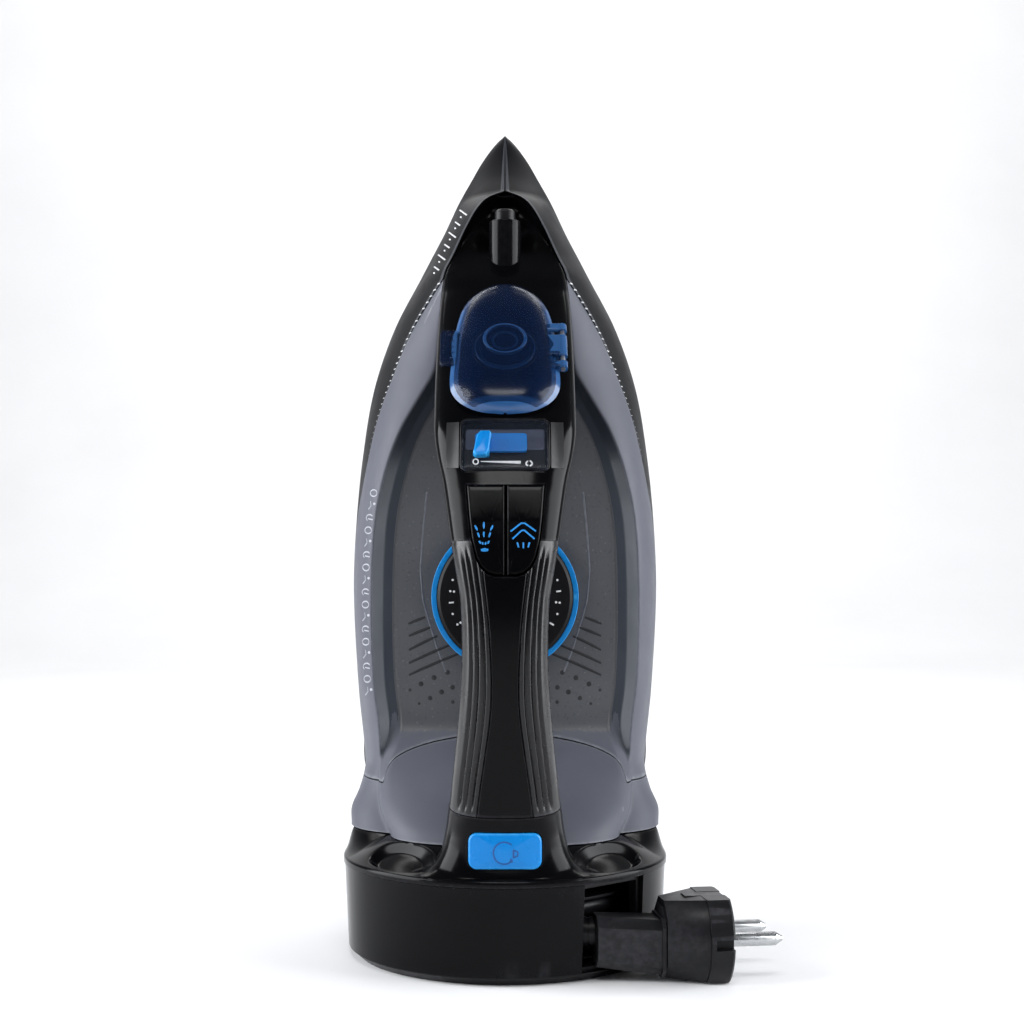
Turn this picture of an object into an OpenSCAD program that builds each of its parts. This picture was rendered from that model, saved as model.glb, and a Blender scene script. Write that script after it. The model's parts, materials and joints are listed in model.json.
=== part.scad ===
// Steam iron with a cord reel in its round heel, standing on the heel.
// Units mm. +Z up, the tip points up. The soleplate faces +Y, the handle faces -Y, +X is to the right.
// The origin is the centre of the heel's flat underside.

/* [Body] */
// Widest half width of the iron's body
body_half_width = 60.6; // [56:0.1:66]
// Sole face, distance behind the reel's axis
sole_y = 64; // [60:0.5:68]
// Shell wall
wall = 2.2; // [1.6:0.1:3]
// Gap left between neighbouring shells
seam = 0.28; // [0.2:0.02:0.5]

/* [Heel] */
// Drum radius at its upper edge
drum_r = 59.8; // [56:0.1:64]
// Height of the drum's upper edge
drum_top = 33.8; // [28:0.2:40]
// Radius of the mains cord
cord_r = 3.3; // [2.8:0.1:3.6]
// Direction the outlet faces, in plan
outlet_az = -48.8; // [-60:0.2:-35]

/* [Controls] */
// Dial radius with its ring
dial_r = 28.1; // [24:0.1:32]
// Height of the dial's centre
dial_z = 131.3; // [125:0.1:138]

/* [Plug] */
// How far the parked plug swings round towards the sole
plug_yaw = 8; // [0:1:20]
// Height of the plug's axis when parked
plug_z = 14.7; // [14.6:0.1:18]

/* [Output] */

/* [Hidden] */
$fn = 64;
e = 0.02;

// ---------- smooth stations: [where, value] pairs joined by a cubic ----------
function seg(t, x, i = 0) = (i >= len(t) - 2 || x <= t[i + 1][0]) ? i : seg(t, x, i + 1);
function tang(t, i) = let (a = max(i - 1, 0), b = min(i + 1, len(t) - 1)) (t[b][1] - t[a][1]) / (t[b][0]
    - t[a][0]);
function sm(t, x) = x <= t[0][0] ? t[0][1] : x >= t[len(t) - 1][0] ? t[len(t) - 1][1] :
    let (i = seg(t, x), h = t[i + 1][0] - t[i][0], s = (x - t[i][0]) / h)
    t[i][1] * (2 * s^3 - 3 * s^2 + 1) + t[i + 1][1] * (3 * s^2 - 2 * s^3)
    + h * (tang(t, i) * (s^3 - 2 * s^2 + s) + tang(t, i + 1) * (s^3 - s^2));
function mix(a, b, s) = a + (b - a) * s;
function ease(x) = let (c = min(max(x, 0), 1)) c * c * (3 - 2 * c);

// ---------- design stations along the height ----------
HALF_W = [[45, 57.2], [50.4, 58.4], [57, 56.4], [67, 56], [94, 58.6], [133, 60.6], [161, 59.5], [188, 56.8],
    [214, 52.3], [238, 44.1], [259, 33.2], [275, 25], [289.5, 18.6], [300, 13.2], [307, 9.5], [313, 5.6],
        [317, 2.4],
    [318.4, 0.7]];
BASE_Y = [[45, 42], [265, 42], [285, 46], [300, 50.5], [318.4, 56]];
CREST_X = [[45, 42], [52, 46], [60, 47.5], [80, 48], [100, 50.3], [133, 51], [161, 49.5], [180, 45.5],
    [195, 40], [208, 32.5],
    [218, 27], [236, 25], [254, 23.2], [263, 19.6], [275, 14.6], [284, 9.8], [288.5, 5.2], [290.5, 0]];
CREST_Y = [[45, -12], [52, -3], [60, 4], [72, 8.6], [133, 8], [218, 8], [236, 7], [254, 10], [263, 15],
    [275, 20],
    [285, 25], [290.5, 30], [300, 40], [310, 48.5], [318.4, 53]];
BLACK_Q = [[132, 0.02], [150, 0.12], [165, 0.3], [180, 0.43], [208, 0.46], [222, 0.5], [237, 0.65], [247,
    0.84],
    [252.5, 1]];
TOP_Y = [[45, -40], [50, -35], [56, -26], [62, -14], [68, -3], [74, 6], [80, 11], [86, 12.6], [100, 12.6]];
SPINE_W = [[139, 16.4], [150, 18.3], [172, 21.6], [182, 23.8], [192, 25], [238, 24.6], [254, 22.8], [263,
    18.9],
    [275, 14.2], [284, 9.4], [288.2, 4.9], [290, 1]];
SPINE_Y = [[139, -67.6], [152, -65.6], [164, -62], [172, -58.6], [190, -50], [200, -42.5], [225, -22.5],
    [250, 0],
    [260, 12], [275, 30], [283, 35], [290, 30]];
HANDLE_W = [[45, 24], [52, 21], [59, 19.6], [69.5, 18.3], [90, 16.2], [111, 14.8], [131, 15.2], [139, 16.4],
    [150, 18.3]];
HANDLE_Y = [[45, -57], [60, -58], [80, -62.5], [110, -67], [139, -67.6], [152, -65.6]];
NECK_W = [[36.6, 33], [39, 26.5], [43, 23], [50, 21], [59.6, 19.6]];
grip_lo = 60.5;
grip_hi = 152;

function hw(z) = sm(HALF_W, z) * body_half_width / 60.6;
function flank(z, q) =
    let (w = hw(z), b = sm(BASE_Y, z), cx = sm(CREST_X, z), cy = sm(CREST_Y, z), k = mix(0.65, 0.35,
        ease((z - 220) / 50)))
    [mix(mix(w, cx, q), cx + (w - cx) * cos(90 * q), k), mix(mix(b, cy, q), b + (cy - b) * sin(90 * q), k)];

// ---------- a solid between two grids of points ----------
module sheet(P, Q, wrap = false) {
    nr = len(P);
    nc = len(P[0]);
    n = nr * nc;
    pts = concat([for (r = P) each r], [for (r = Q) each r]);
    rows = wrap ? nr : nr - 1;
    function id(i, j) = (i % nr) * nc + j;
    function quad(a, b, c, d) = [[a, b, c], [a, c, d]];
    f = concat(
        [for (i = [0 : rows - 1], j = [0 : nc - 2]) each quad(id(i, j), id(i, j + 1), id(i + 1, j + 1),
            id(i + 1, j))],
        [for (i = [0 : rows - 1], j = [0 : nc - 2])
            each quad(n + id(i, j), n + id(i + 1, j), n + id(i + 1, j + 1), n + id(i, j + 1))],
        [for (i = [0 : rows - 1]) each quad(id(i, 0), id(i + 1, 0), n + id(i + 1, 0), n + id(i, 0))],
        [for (i = [0 : rows - 1])
            each quad(id(i, nc - 1), n + id(i, nc - 1), n + id(i + 1, nc - 1), id(i + 1, nc - 1))],
        wrap ? [] : [for (j = [0 : nc - 2]) each quad(id(0, j), n + id(0, j), n + id(0, j + 1), id(0, j
            + 1))],
        wrap ? [] : [for (j = [0 : nc - 2])
            each quad(id(nr - 1, j), id(nr - 1, j + 1), n + id(nr - 1, j + 1), n + id(nr - 1, j))]);
    vols = [for (t = f) pts[t[0]] * cross(pts[t[1]], pts[t[2]])];
    vol = vols * [for (v = vols) 1];
    polyhedron(pts, vol < 0 ? f : [for (t = f) [t[2], t[1], t[0]]]);
}
module shell() resize([0, 0, 0]) children();
module both() { children(); mirror([1, 0, 0]) children(); }
module along_x(x0, x1) translate([x0, 0, 0]) rotate([90, 0, 90]) linear_extrude(x1 - x0) children();
module along_y(y0, y1) translate([0, y1, 0]) rotate([90, 0, 0]) linear_extrude(y1 - y0) children();
module rod_y(x, z, y0, y1, r) translate([x, y1, z]) rotate([90, 0, 0]) cylinder(r = r, h = y1 - y0);
module rod_x(y, z, x0, x1, r) translate([x0, y, z]) rotate([0, 90, 0]) cylinder(r = r, h = x1 - x0);
module rounded(w, h, r) {
    square([w - 2 * r, h], center = true);
    square([w, h - 2 * r], center = true);
    for (x = [-1, 1], y = [-1, 1]) translate([x * (w / 2 - r), y * (h / 2 - r)]) circle(r);
}
// a frame lying on the sloping spine: -Y out of the surface, +Z up the slope
module on_spine(z0, tilt, out = 0) translate([0, sm(SPINE_Y, z0), z0]) rotate([-tilt, 0, 0]) translate([0,
    -out, 0])
    children();

// =================================================================== heel
module heel_base() color("#141416") difference() {
    union() {
        rotate_extrude($fn = 128)
            polygon([[0, 0], [54.6, 0], [57.4, 2.6], [57.4, 3], [54.8, 3], [54.8, 4.4], [0, 4.4]]);
        cylinder(r = 11, h = 5.2);
    }
    for (a = screw_at) rotate(a) translate([screw_r, 0, -e]) {
        cylinder(r = 1.7, h = 6);
        cylinder(r = 2.6, h = 1.6);
    }
    translate([0, 0, 2]) cylinder(r = 5, h = 6);
    for (i = [0 : 5]) rotate(i * 60 + 30) translate([28, 0, -e]) cylinder(r = 2.5, h = 1);
}
screw_at = [25, 115, 205, 262];
screw_r = 51.9;
function drum_rad(z) = drum_r - 1.7 * (drum_top - z) / drum_top;
module port_box() rotate(outlet_az) translate([42, -14.4, 3]) cube([30, 28.8, 42]);
module drum_housing() color("#101012") difference() {
    union() {
        rotate_extrude($fn = 160) polygon([[drum_rad(3.2) - 2.4, 3.2], [drum_rad(3.2), 3.2],
            [drum_rad(drum_top), drum_top],
            [drum_rad(drum_top) - 2.4, drum_top]]);
        for (a = screw_at) rotate(a) translate([screw_r, 0, 4.6]) {
            cylinder(r = 2.7, h = 14);
            translate([0, -2.2, 0]) cube([5, 4.4, 14]);
        }
    }
    port_box();
    for (a = screw_at) rotate(a) translate([screw_r, 0, 3]) cylinder(r = 1.5, h = 10);
}

// upper heel cover: rim, cove, two dishes and the neck that carries the rewind button
function saddle_rad(x, y) = min(57.4, lookup(atan2(y, abs(x)), rim_of_saddle) - 0.2);
function dish(x, y) = let (d = norm([(x + y) * 0.7071 / 15.5, ((x - y) * 0.7071 - 52) / 6.6])) 3.2
    * ease((1.05 - d) / 0.4);
function cover_z(r, a) = let (x = r * cos(a), y = r * sin(a), ri = saddle_rad(x, y), t = max(60.2 - r, 0)
    / max(60.2 - ri, 1))
    mix(36.3, 44.6, mix(ease(t), min(t, 1)^0.8, 0.45)) - dish(abs(x), y);
cover_r = [60.3, 60.2, 58.8, 56.6, 54, 51, 48, 45.2, 42, 12];
module heel_cover() color("#131315") shell() difference() {
    union() {
        difference() {
            sheet([for (i = [0 : 53]) concat([[60.3 * cos(i * 20 / 3), 60.3 * sin(i * 20 / 3), drum_top
                + 0.25]],
                    [for (r = cover_r) [r * cos(i * 20 / 3), r * sin(i * 20 / 3), cover_z(r, i
                        * 20 / 3)]])],
                [for (i = [0 : 53]) concat([[58 * cos(i * 20 / 3), 58 * sin(i * 20 / 3), drum_top + 0.25]],
                    [for (r = cover_r) let (q = min(r, 58)) [q * cos(i * 20 / 3), q * sin(i * 20 / 3),
                        max(cover_z(r, i * 20 / 3) - 1.8, drum_top + 0.3 + (60.3 - r) * 0.004)]])],
                            wrap = true);
            translate([-19, -54.5, 33]) cube([38, 18, 30]);
        }
        sheet(neck_grid(0), neck_grid(wall));
        for (x = [-7.2, 4.6]) translate([x, rocker_y - 3, rocker_z - 2.4]) cube([2.6, 6, 10.4]);
    }
    translate([0, -50, 46.3]) rotate([90, 0, 0]) linear_extrude(20) rounded(25.7, 13, 3.4);
    rod_x(rocker_y, rocker_z, -20, 20, 1.56);
}
rim_of_saddle = [for (u = [0 : 0.04 : 1.001]) let (p = body_pt(45.2, u, 0)) [atan2(p[1], p[0]),
    norm([p[0], p[1]])]];
function neck_grid(t) = [for (z = [35.6, 36.6, 37.6, 39, 41, 43.5, 47, 51, 55, 60.15])
    let (w = sm(NECK_W, z) - t, ys = sm([[35.6, -58.6], [37.6, -57.6], [45, -57.4], [59.9, -58.1]], z) + t)
    [for (j = [-12 : 12]) let (u = j / 12)
        sec(w, ys, 15, -38, u, z - 2.84 * (1 - min(abs(u) / 0.7, 1)^2) * ease((z - 46) / 14))]];
// half-round section: u = 0 at the front centre, 1 at the rear end of the side wall
function sec(w, ys, hf, yb, u, z) = let (s = sign(u), a = abs(u), th = min(a / 0.7, 1) * 90,
    k = max(a - 0.7, 0) / 0.3)
    [s * w * sin(th)^0.8, a <= 0.7 ? ys + hf - hf * cos(th)^0.8 : mix(ys + hf, yb, k), z];

module outlet_frame() color("#1a1a1c") difference() {
    rotate(outlet_az) translate([52.6, -14.1, 5.7]) cube([3.4, 28.2, 27.8]);
    rotate(outlet_az) translate([50, -12.7, 0]) cube([10, 25.4, 32]);
    rotate(outlet_az) translate([50, -20, 0]) cube([10, 20, 23]);
}

module reel_axle() color("#9a9da3") {
    translate([0, 0, 2]) cylinder(r = 4.95, h = 25.8);
    translate([0, 0, 27.8]) cylinder(r = 3, h = 1.1);
}
module reel_spool() color("#e6e4dc") difference() {
    union() {
        translate([0, 0, 5.5]) cylinder(r = 49, h = 0.7);
        translate([0, 0, 26]) cylinder(r = 49, h = 1);
        translate([0, 0, 5.6]) cylinder(r = 21.4, h = 21.4);
    }
    difference() {
        translate([0, 0, 7.6]) cylinder(r = 19.4, h = 30);
        cylinder(r = 7.4, h = 60);
    }
    translate([0, 0, -1]) cylinder(r = 5.02, h = 60);
    for (i = [0 : 5]) rotate(i * 60) translate([33, 0, 3]) { cylinder(r = 5, h = 3.6); translate([0, 0,
        21]) cylinder(r = 1, h = 5); }
}
module reel_spring() color("#6f7378") translate([0, 0, 8.2]) linear_extrude(14) {
    n = 100;
    r = function (i) 8.4 + i / n * 10;
    polygon(concat([for (i = [0 : n]) r(i) * [cos(i * 18), sin(i * 18)]],
        [for (i = [n : -1 : 0]) (r(i) + 0.7) * [cos(i * 18), sin(i * 18)]]));
}
module slip_rings() color("#c7913f") for (r = [26, 33]) translate([0, 0, 27.02]) difference() {
    cylinder(r = r + 2.6, h = 0.8);
    translate([0, 0, -1]) cylinder(r = r, h = 3);
}
module contact_bridge() {
    color("#caa878") difference() {
        translate([-9, 8, 29.2]) cube([18, 46, 2.2]);
        translate([0, 0, 20]) cylinder(r = 9.5, h = 20);
    }
    color("#c7913f") for (r = [27.3, 34.3]) translate([-3, r - 1, 28.1]) cube([6, 2, 1.2]);
    color("#caa878") for (x = [-6, 6]) translate([x, 50, 31.3]) cylinder(r = 2.2, h = 6);
}

coil_r = [24.8, 31.3, 37.8, 44.3];
coil_z = [9.6, 16.1, 22.6];
module wound_cord() color("#0c0c0d") {
    rotate_extrude($fn = 96) {
        for (r = coil_r, z = coil_z) if (!(r > 44 && z > 10 && z < 20)) translate([r, z]) circle(cord_r,
            $fn = 32);
        translate([24.8, 9.6]) square([13, 13]);
    }
    rotate(-330) rotate_extrude(angle = 232, $fn = 96) translate([44.3, 16.1]) circle(cord_r - 0.02,
        $fn = 32);
}
module cord_lead() color("#0c0c0d") rod_x(-44.3, 16.1, 4, 33, 3.1);
// the plug's own frame: +X from the cord to the pins
module at_plug() translate([32.5, -47.5, plug_z]) rotate(plug_yaw) children();
module plug_slab(x, w, lo, hi, c) translate([x, 0, 0]) rotate([90, 0, 90]) linear_extrude(0.4)
    polygon([[-w / 2, lo + c], [-w / 2 + c, lo], [w / 2 - c, lo], [w / 2, lo + c], [w / 2, hi - c],
        [w / 2 - c, hi],
        [-w / 2 + c, hi], [-w / 2, hi - c]]);
module plug_body() color("#131314") difference() {
    union() {
        rod_x(-44.3, 16.1, 25.5, 34.5, 4.8);
        for (x = [27, 29.4, 31.8]) rod_x(-44.3, 16.1, x, x + 1.2, 5.2);
        at_plug() {
            hull() { plug_slab(-1.5, 13.4, -9.4, 8.2, 3.4); plug_slab(20.8, 17.8, -12.4, 6.6, 3); }
            hull() { plug_slab(20.4, 19.4, -13, 7.6, 3); plug_slab(21.3, 19.4, -13, 7.6, 3); }
        }
    }
    rod_x(-44.3, 16.1, 20, 33.2, 3.2);
}
module plug_face() color("#161617") at_plug() difference() {
    union() {
        intersection() {
            rotate([0, 90, 0]) rotate_extrude($fn = 96) polygon([[0, 35.4], [18.4, 35.4], [18.4, 43],
                [17.6, 43.8], [0, 43.8]]);
            translate([20, -30, -14.2]) cube([30, 60, 28.4]);
        }
        hull() {
            plug_slab(22, 20.6, -13.6, 13, 6);
            intersection() {
                rotate([0, 90, 0]) translate([0, 0, 35]) cylinder(r = 17.7, h = 0.5, $fn = 36);
                translate([20, -30, -14]) cube([30, 60, 28]);
            }
        }
        hull() { plug_slab(21.7, 16, -12, 10.6, 4); plug_slab(23, 16, -12, 10.6, 4); }
    }
    for (s = [-1, 1]) {
        translate([37, s * 18.4 - 3, -1.8]) cube([10, 6, 3.6]);
        translate([29.5, -3.2, s * 13.9 - 1]) cube([20, 6.4, 2]);
        rod_x(s * 9.5, 0, 40, 50, 2.5);
    }
}
module plug_pins() color("#c9cbd0") at_plug() for (s = [-1, 1]) {
    rod_x(s * 9.5, 0, 40, 60, 2.4);
    translate([60, s * 9.5, 0]) rotate([0, 90, 0]) cylinder(r1 = 2.4, r2 = 0.9, h = 2.4);
}
module earth_clips() color("#b9bbbf") at_plug() for (s = [-1, 1]) {
    translate([29.8, -2.9, s * 13.55 - 0.55]) cube([13.6, 5.8, 1.1]);
}
module rewind_button() color("#1e90e6") {
    intersection() {
        translate([0, -40, 46.3]) rotate([90, 0, 0]) linear_extrude(22) rounded(25, 12.3, 3);
        translate([0, -6, 46.3]) cylinder(r = 53, h = 40, center = true, $fn = 120);
        translate([-20, -62, 30]) cube([40, 9.6, 40]);
    }
    translate([-13.1, -52.3, 41.4]) cube([26.2, 1.2, 8.8]);
    rod_y(0, 46.3, -51.4, -50.4, 3);
}
module coil(r, wire) rotate([90, 0, 0]) rotate_extrude($fn = 24) translate([r, 0]) circle(wire, $fn = 10);
module rewind_spring() color("#8d9096") for (s = [-1, 1], i = [0 : 3])
    translate([s * 9, -50.7 + i * 0.95, 46.3]) coil(1.9, 0.32);
rocker_y = -28;
rocker_z = 35;
module brake_rocker() color("#d9d7cf") difference() {
    union() {
        translate([-4, -46.6, rocker_z - 1.4]) cube([8, 20, 2.8]);
        rod_x(rocker_y, rocker_z, -4, 4, 3);
        translate([-4, -48.6, rocker_z - 1.4]) cube([8, 2.2, 14]);
        translate([-3, -44.5, 27.4]) cube([6, 5, 7]);
    }
    rod_x(rocker_y, rocker_z, -10, 10, 1.55);
}
module rocker_pin() color("#9a9da3") rod_x(rocker_y, rocker_z, -7, 7, 1.5);
module base_screws() color("#8d9096") for (a = screw_at) rotate(a) translate([screw_r, 0, 0.3]) difference() {
    union() { cylinder(r = 2.45, h = 1.2); cylinder(r = 1.35, h = 11); }
    for (b = [0, 90]) rotate(b) translate([-1.8, -0.35, -0.1]) cube([3.6, 0.7, 0.7]);
}

// =================================================================== sole group
// half outline of the sole from the middle of its rear edge to the tip; k in 0..1
function sole_edge(k) = k < 0.22 ? let (a = k / 0.22 * 90) [hw(74) * sin(a)^0.55, 74 - 27.6 * cos(a)^0.55]
    : let (z = mix(74, 318.3, (k - 0.22) / 0.78)) [hw(z), z];
function sole_ring(inset, n = 36) = let (h = [for (i = [0 : n]) let (p = sole_edge(i / n), d = max(p[0]
    - inset, 0.01))
    [d, p[1] < 90 ? p[1] + inset * (90 - p[1]) / 44 : p[1] - inset * 1.6 * ease((p[1] - 200) / 110)]])
    concat(h, [for (i = [n : -1 : 1]) [-h[i][0], h[i][1]]]);
module sole_shape(inset) polygon(sole_ring(inset));
steam_holes = [for (z = [232 : -16 : 120]) for (s = [-1, 1]) [s * (hw(z) - 15), z]];
module soleplate() color("#9fa3aa") difference() {
    union() {
        along_y(sole_y - 4.2, sole_y - 1) sole_shape(1.4);
        along_y(sole_y - 1.1, sole_y) sole_shape(2.4);
        along_y(48, sole_y - 4) sole_shape(7.5);
    }
    for (p = steam_holes) rod_y(p[0], p[1], 40, 70, 1.5);
    for (i = [-1 : 1]) rod_y(i * 8, 262 - abs(i) * 4, 40, 70, 1.5);
    translate([0, 51.5, 0]) element_path(4.15);
    translate([0, 46, 0]) element_path(4.15, 5.6);
    for (p = sole_bolts) rod_y(p[0], p[1], 40, 57, 1.6);
    both() translate([23.6, 47, 73]) cube([6.8, 9, 12]);
}
sole_bolts = [[0, 258], [-38, 70], [38, 70]];
module element_path(r, deep = 0) {
    module leg(s) translate([s * 27, 0, 84]) cylinder(r = r, h = 126);
    both() leg(1);
    translate([0, 0, 210]) rotate([90, 0, 0]) rotate_extrude(angle = 180) translate([27, 0]) circle(r);
    if (deep > 0) both() translate([27 - r, 0, 84]) cube([2 * r, deep, 126]);
}
module heating_element() color("#8a8178") {
    translate([0, 51.5, 0]) element_path(3.8);
    both() translate([27, 51.5, 78]) { cylinder(r = 1.2, h = 8); translate([-2.4, -0.4, -3]) cube([4.8,
        0.8, 4]); }
}
module steam_chamber_lid() color("#b5b8bd") difference() {
    along_y(46.2, 47.8) translate([0, 160]) rounded(42, 116, 16);
    rod_y(0, dial_z, 40, 50, 7);
    rod_y(0, 185, 40, 50, 2.6);
    for (s = [-1, 1], z = [112, 206]) rod_y(s * 15, z, 40, 50, 1.2);
}
module thermostat() {
    color("#d8d2c4") rod_y(0, dial_z, 46.6, 47.9, 6.6);
    color("#d8d2c4") difference() {
        rod_y(0, dial_z, 45.2, 46.7, 6.6);
        rod_y(0, dial_z, 45.1, 46.8, 1.5);
    }
    color("#b9924d") translate([-4, 45.3, dial_z - 15]) cube([8, 0.8, 10]);
}
module thermal_fuse() color("#c9b89a") {
    translate([34, 46.5, 100]) cylinder(r = 1.3, h = 24);
    translate([34, 46.5, 94]) cylinder(r = 0.6, h = 36);
}
module sole_screws() color("#8d9096") for (p = sole_bolts) difference() {
    union() { rod_y(p[0], p[1], 46.4, 56.5, 1.5); rod_y(p[0], p[1], 46.3, 47.8, 3); }
    translate([p[0] - 2, 46.2, p[1] - 0.35]) cube([4, 0.8, 0.7]);
}

// =================================================================== body shells
// black band: from the sole up to the tick line, and the whole nose outside the arch
function skirt_pt(k, s, t) = let (p = sole_edge(k), z = p[1], q = sm(BLACK_Q, z), f = flank(max(z, 45),
    q * max(s, 0)),
        b = sm(BASE_Y, z), out = 1 - 1.1 * max(-s, 0)^2, n = s <= 0 ? [-1, 0] : [-cos(90 * q * s),
            sin(90 * q * s)],
        over = z > 288 && s > 0.99 ? -0.5 : 0)
    s <= 0 ? [max(p[0] - (1 - out) - t, -0.3), mix(b, sole_y - 5.5, -s), z + (k < 0.22 ? t
        * cos(k / 0.22 * 90) : 0)]
    : [max(f[0] + t * n[0], -0.3) + over, f[1] + t * n[1], z];
skirt_k = concat([for (i = [0 : 7]) i / 7 * 0.22], [for (i = [1 : 26]) 0.22 + (1 - (1 - i / 26)^1.35)
    * 0.78]);
module nose_skirt() color("#0e0e10") shell() both() {
    sheet([for (k = skirt_k) [for (s = [-1, -0.4, 0]) skirt_pt(k, s, 0) - (s == 0 ? [0, 0.4, 0] : [0, 0,
        0])]],
        [for (k = skirt_k) [for (s = [-1, -0.4, 0]) skirt_pt(k, s, wall) - (s == 0 ? [0, 0.4, 0] : [0, 0,
            0])]]);
    kk = [for (k = skirt_k) if (sole_edge(k)[1] > 134) k];
    sheet([for (k = kk) [for (s = [0, 0.2, 0.4, 0.6, 0.8, 1]) skirt_pt(k, max(s, 0.002), 0)]],
        [for (k = kk) [for (s = [0, 0.2, 0.4, 0.6, 0.8, 1]) skirt_pt(k, max(s, 0.002), wall)]]);
}

// one height field for the grey body: u = +-1 at the skirt, +-0.6 on the crest, 0 in the middle
function body_pt(z, u, t) = let (s = sign(u), a = abs(u), q0 = sm(BLACK_Q, z) * (z > 132 ? 1 : 0),
        q = a > 0.6 ? mix(1, q0 + 0.014, (a - 0.6) / 0.4) : 1, f = flank(z, q), cx = sm(CREST_X, z),
            cy = sm(CREST_Y, z),
        r = a / 0.6, ty = sm(TOP_Y, z), g = ease((z - 64) / 20), n = a > 0.6 ? [-cos(90 * q), sin(90 * q)]
            : [0, 1],
        bulge = a > 0.6 && z < 67 ? (67 - z) / 22 * 7.5 * sin(180 * q) : 0,
        back = a > 0.6 && z < 67 ? (67 - z) / 22 * 7 * (1 - q)^3 : 0,
        groove = r > 0.86 ? [mix(cx - 4.2, cx, (r - 0.86) / 0.14), mix(cy + 3.8, cy, (r - 0.86) / 0.14)]
            : r > 0.72 ? [mix(cx - 8.4, cx - 4.2, (r - 0.72) / 0.14), mix(ty + 0.6, cy + 3.8, (r - 0.72)
                / 0.14)]
            : r > 0.68 ? [mix(cx - 9, cx - 8.4, (r - 0.68) / 0.04), mix(ty, ty + 0.6, (r - 0.68) / 0.04)]
            : [(cx - 9) * r / 0.68, ty],
        round = [cx * sin(90 * r)^0.85, cy + (ty - cy) * cos(90 * r)^0.85],
        m = [mix(round[0], groove[0], g), mix(round[1], groove[1], g)],
        p = a > 0.6 ? f + [bulge - back, 0] : m)
    [s * max(p[0] + t * n[0], 0), p[1] + t * n[1], z];
U = [1, 0.94, 0.88, 0.8, 0.7, 0.64, 0.6, 0.56, 0.516, 0.47, 0.432, 0.408, 0.3, 0.15];
US = concat(U, [0], [for (i = [len(U) - 1 : -1 : 0]) -U[i]]);
// the saddle's upper edge arches over the tank top
function saddle_z(u) = let (r = min(abs(u) / 0.47, 1)) 62 + 17 * sqrt(max(1 - r * r, 0));
module tank_sheet() {
    vs = [for (i = [0 : 16]) i / 16];
    sheet([for (v = vs) [for (u = US) body_pt(mix(saddle_z(u) + seam, 252, v), u, 0)]],
        [for (v = vs) [for (u = US) body_pt(mix(saddle_z(u) + seam, 252, v), u, wall)]]);
}
module water_tank() color("#6e707a") shell() difference() {
    union() {
        tank_sheet();
        rod_y(0, dial_z, 13.6, 42.6, 6.4);
    }
    rod_y(0, dial_z, 0, 50, 3.4);
    rod_y(0, 185, 0, 50, 3);
    on_spine(221, 39) translate([0, -2, 0]) rotate([-90, 0, 0]) cylinder(r = 8.2, h = 80);
}
module tank_floor() color("#4b4d55") difference() {
    along_y(43.4, 45) intersection() {
        sole_shape(5.6);
        translate([-60, 66]) square([120, 196]);
    }
    rod_y(0, dial_z, 40, 50, 7);
    rod_y(0, 185, 40, 50, 4.2);
    for (p = sole_bolts) rod_y(p[0], p[1], 40, 50, 3.2);
}
module tank_seal() color("#d9d9d4") along_y(42.3, 43.3) difference() {
    intersection() { sole_shape(5.8); translate([-60, 68]) square([120, 190]); }
    intersection() { sole_shape(9); translate([-60, 72]) square([120, 181]); }
}
module rear_saddle() color("#6e707a") shell() {
    vs = [for (i = [0 : 6]) i / 6];
    sheet([for (v = vs) [for (u = US) body_pt(mix(44.9, saddle_z(u) - seam, v), u, 0)]],
        [for (v = vs) [for (u = US) body_pt(mix(44.9, saddle_z(u) - seam, v), u, wall)]]);
    difference() {
        translate([0, 0, 44.9]) linear_extrude(1.6) polygon([for (u = US) let (p = body_pt(45.4, u, 0.6))
            [p[0], p[1]]]);
        translate([-17, -60, 40]) cube([34, 78, 10]);
        translate([0, 20, 40]) cylinder(r = 17, h = 10);
    }
}

// the closed outline of the finger gap; d grows it by the handle's under wall
GAP = [[-39.4, 47], [-39.6, 53], [-39.4, 59], [-39.2, 61.4], [-39, 66], [-38.4, 80], [-38, 110],
    [-38, 140], [-37.2, 154], [-34, 165], [-28, 173], [-18, 178.6], [-6, 180.6], [12.4, 181]];
function gap_n(i) = let (a = GAP[max(i - 1, 0)], b = GAP[min(i + 1, len(GAP) - 1)],
    v = (b - a) / norm(b - a)) [-v[1], v[0]];
module gap_cut(d) along_x(-40, 40) polygon(concat([for (i = [0 : len(GAP) - 1]) GAP[i] + d * gap_n(i)],
    [[30, 181 + d], [30, 47], [-39.4 - d, 47]]));
function spine_grid(t) = [for (z = concat([152.3, 156, 162, 168, 174, 180, 187, 194, 201, 209, 218, 227,
    236, 245],
        [251, 256, 260, 264, 269, 275, 280, 284, 287, 289]))
    let (w0 = sm(SPINE_W, z), ys = sm(SPINE_Y, z), cv = ease((z - 250) / 12), w = w0 - t * (1 - cv) * 0.9,
        yb = z > 214 ? sm(CREST_Y, z) - seam : mix(12.2, sm(CREST_Y, z) - seam, ease((z - 204) / 10)),
        drop = yb - ys, hf = drop > 0 ? min(drop, 11) : max(drop, -14))
    [for (j = [-9 : 9]) sec(w, ys + t, hf, yb + t * cv, j / 9, z)]];
module shield() polygon([for (a = [[-13.5, 171], [13.9, 171], [13, 160], [12.1, 152], [10.7, 146], [9, 142.6],
    [6.6, 140.5], [4, 139.7], [-3.4, 139.7], [-6, 140.5], [-8.4, 142.6], [-10.1, 146], [-11.5, 152],
    [-12.5, 160]]) a]);
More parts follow.
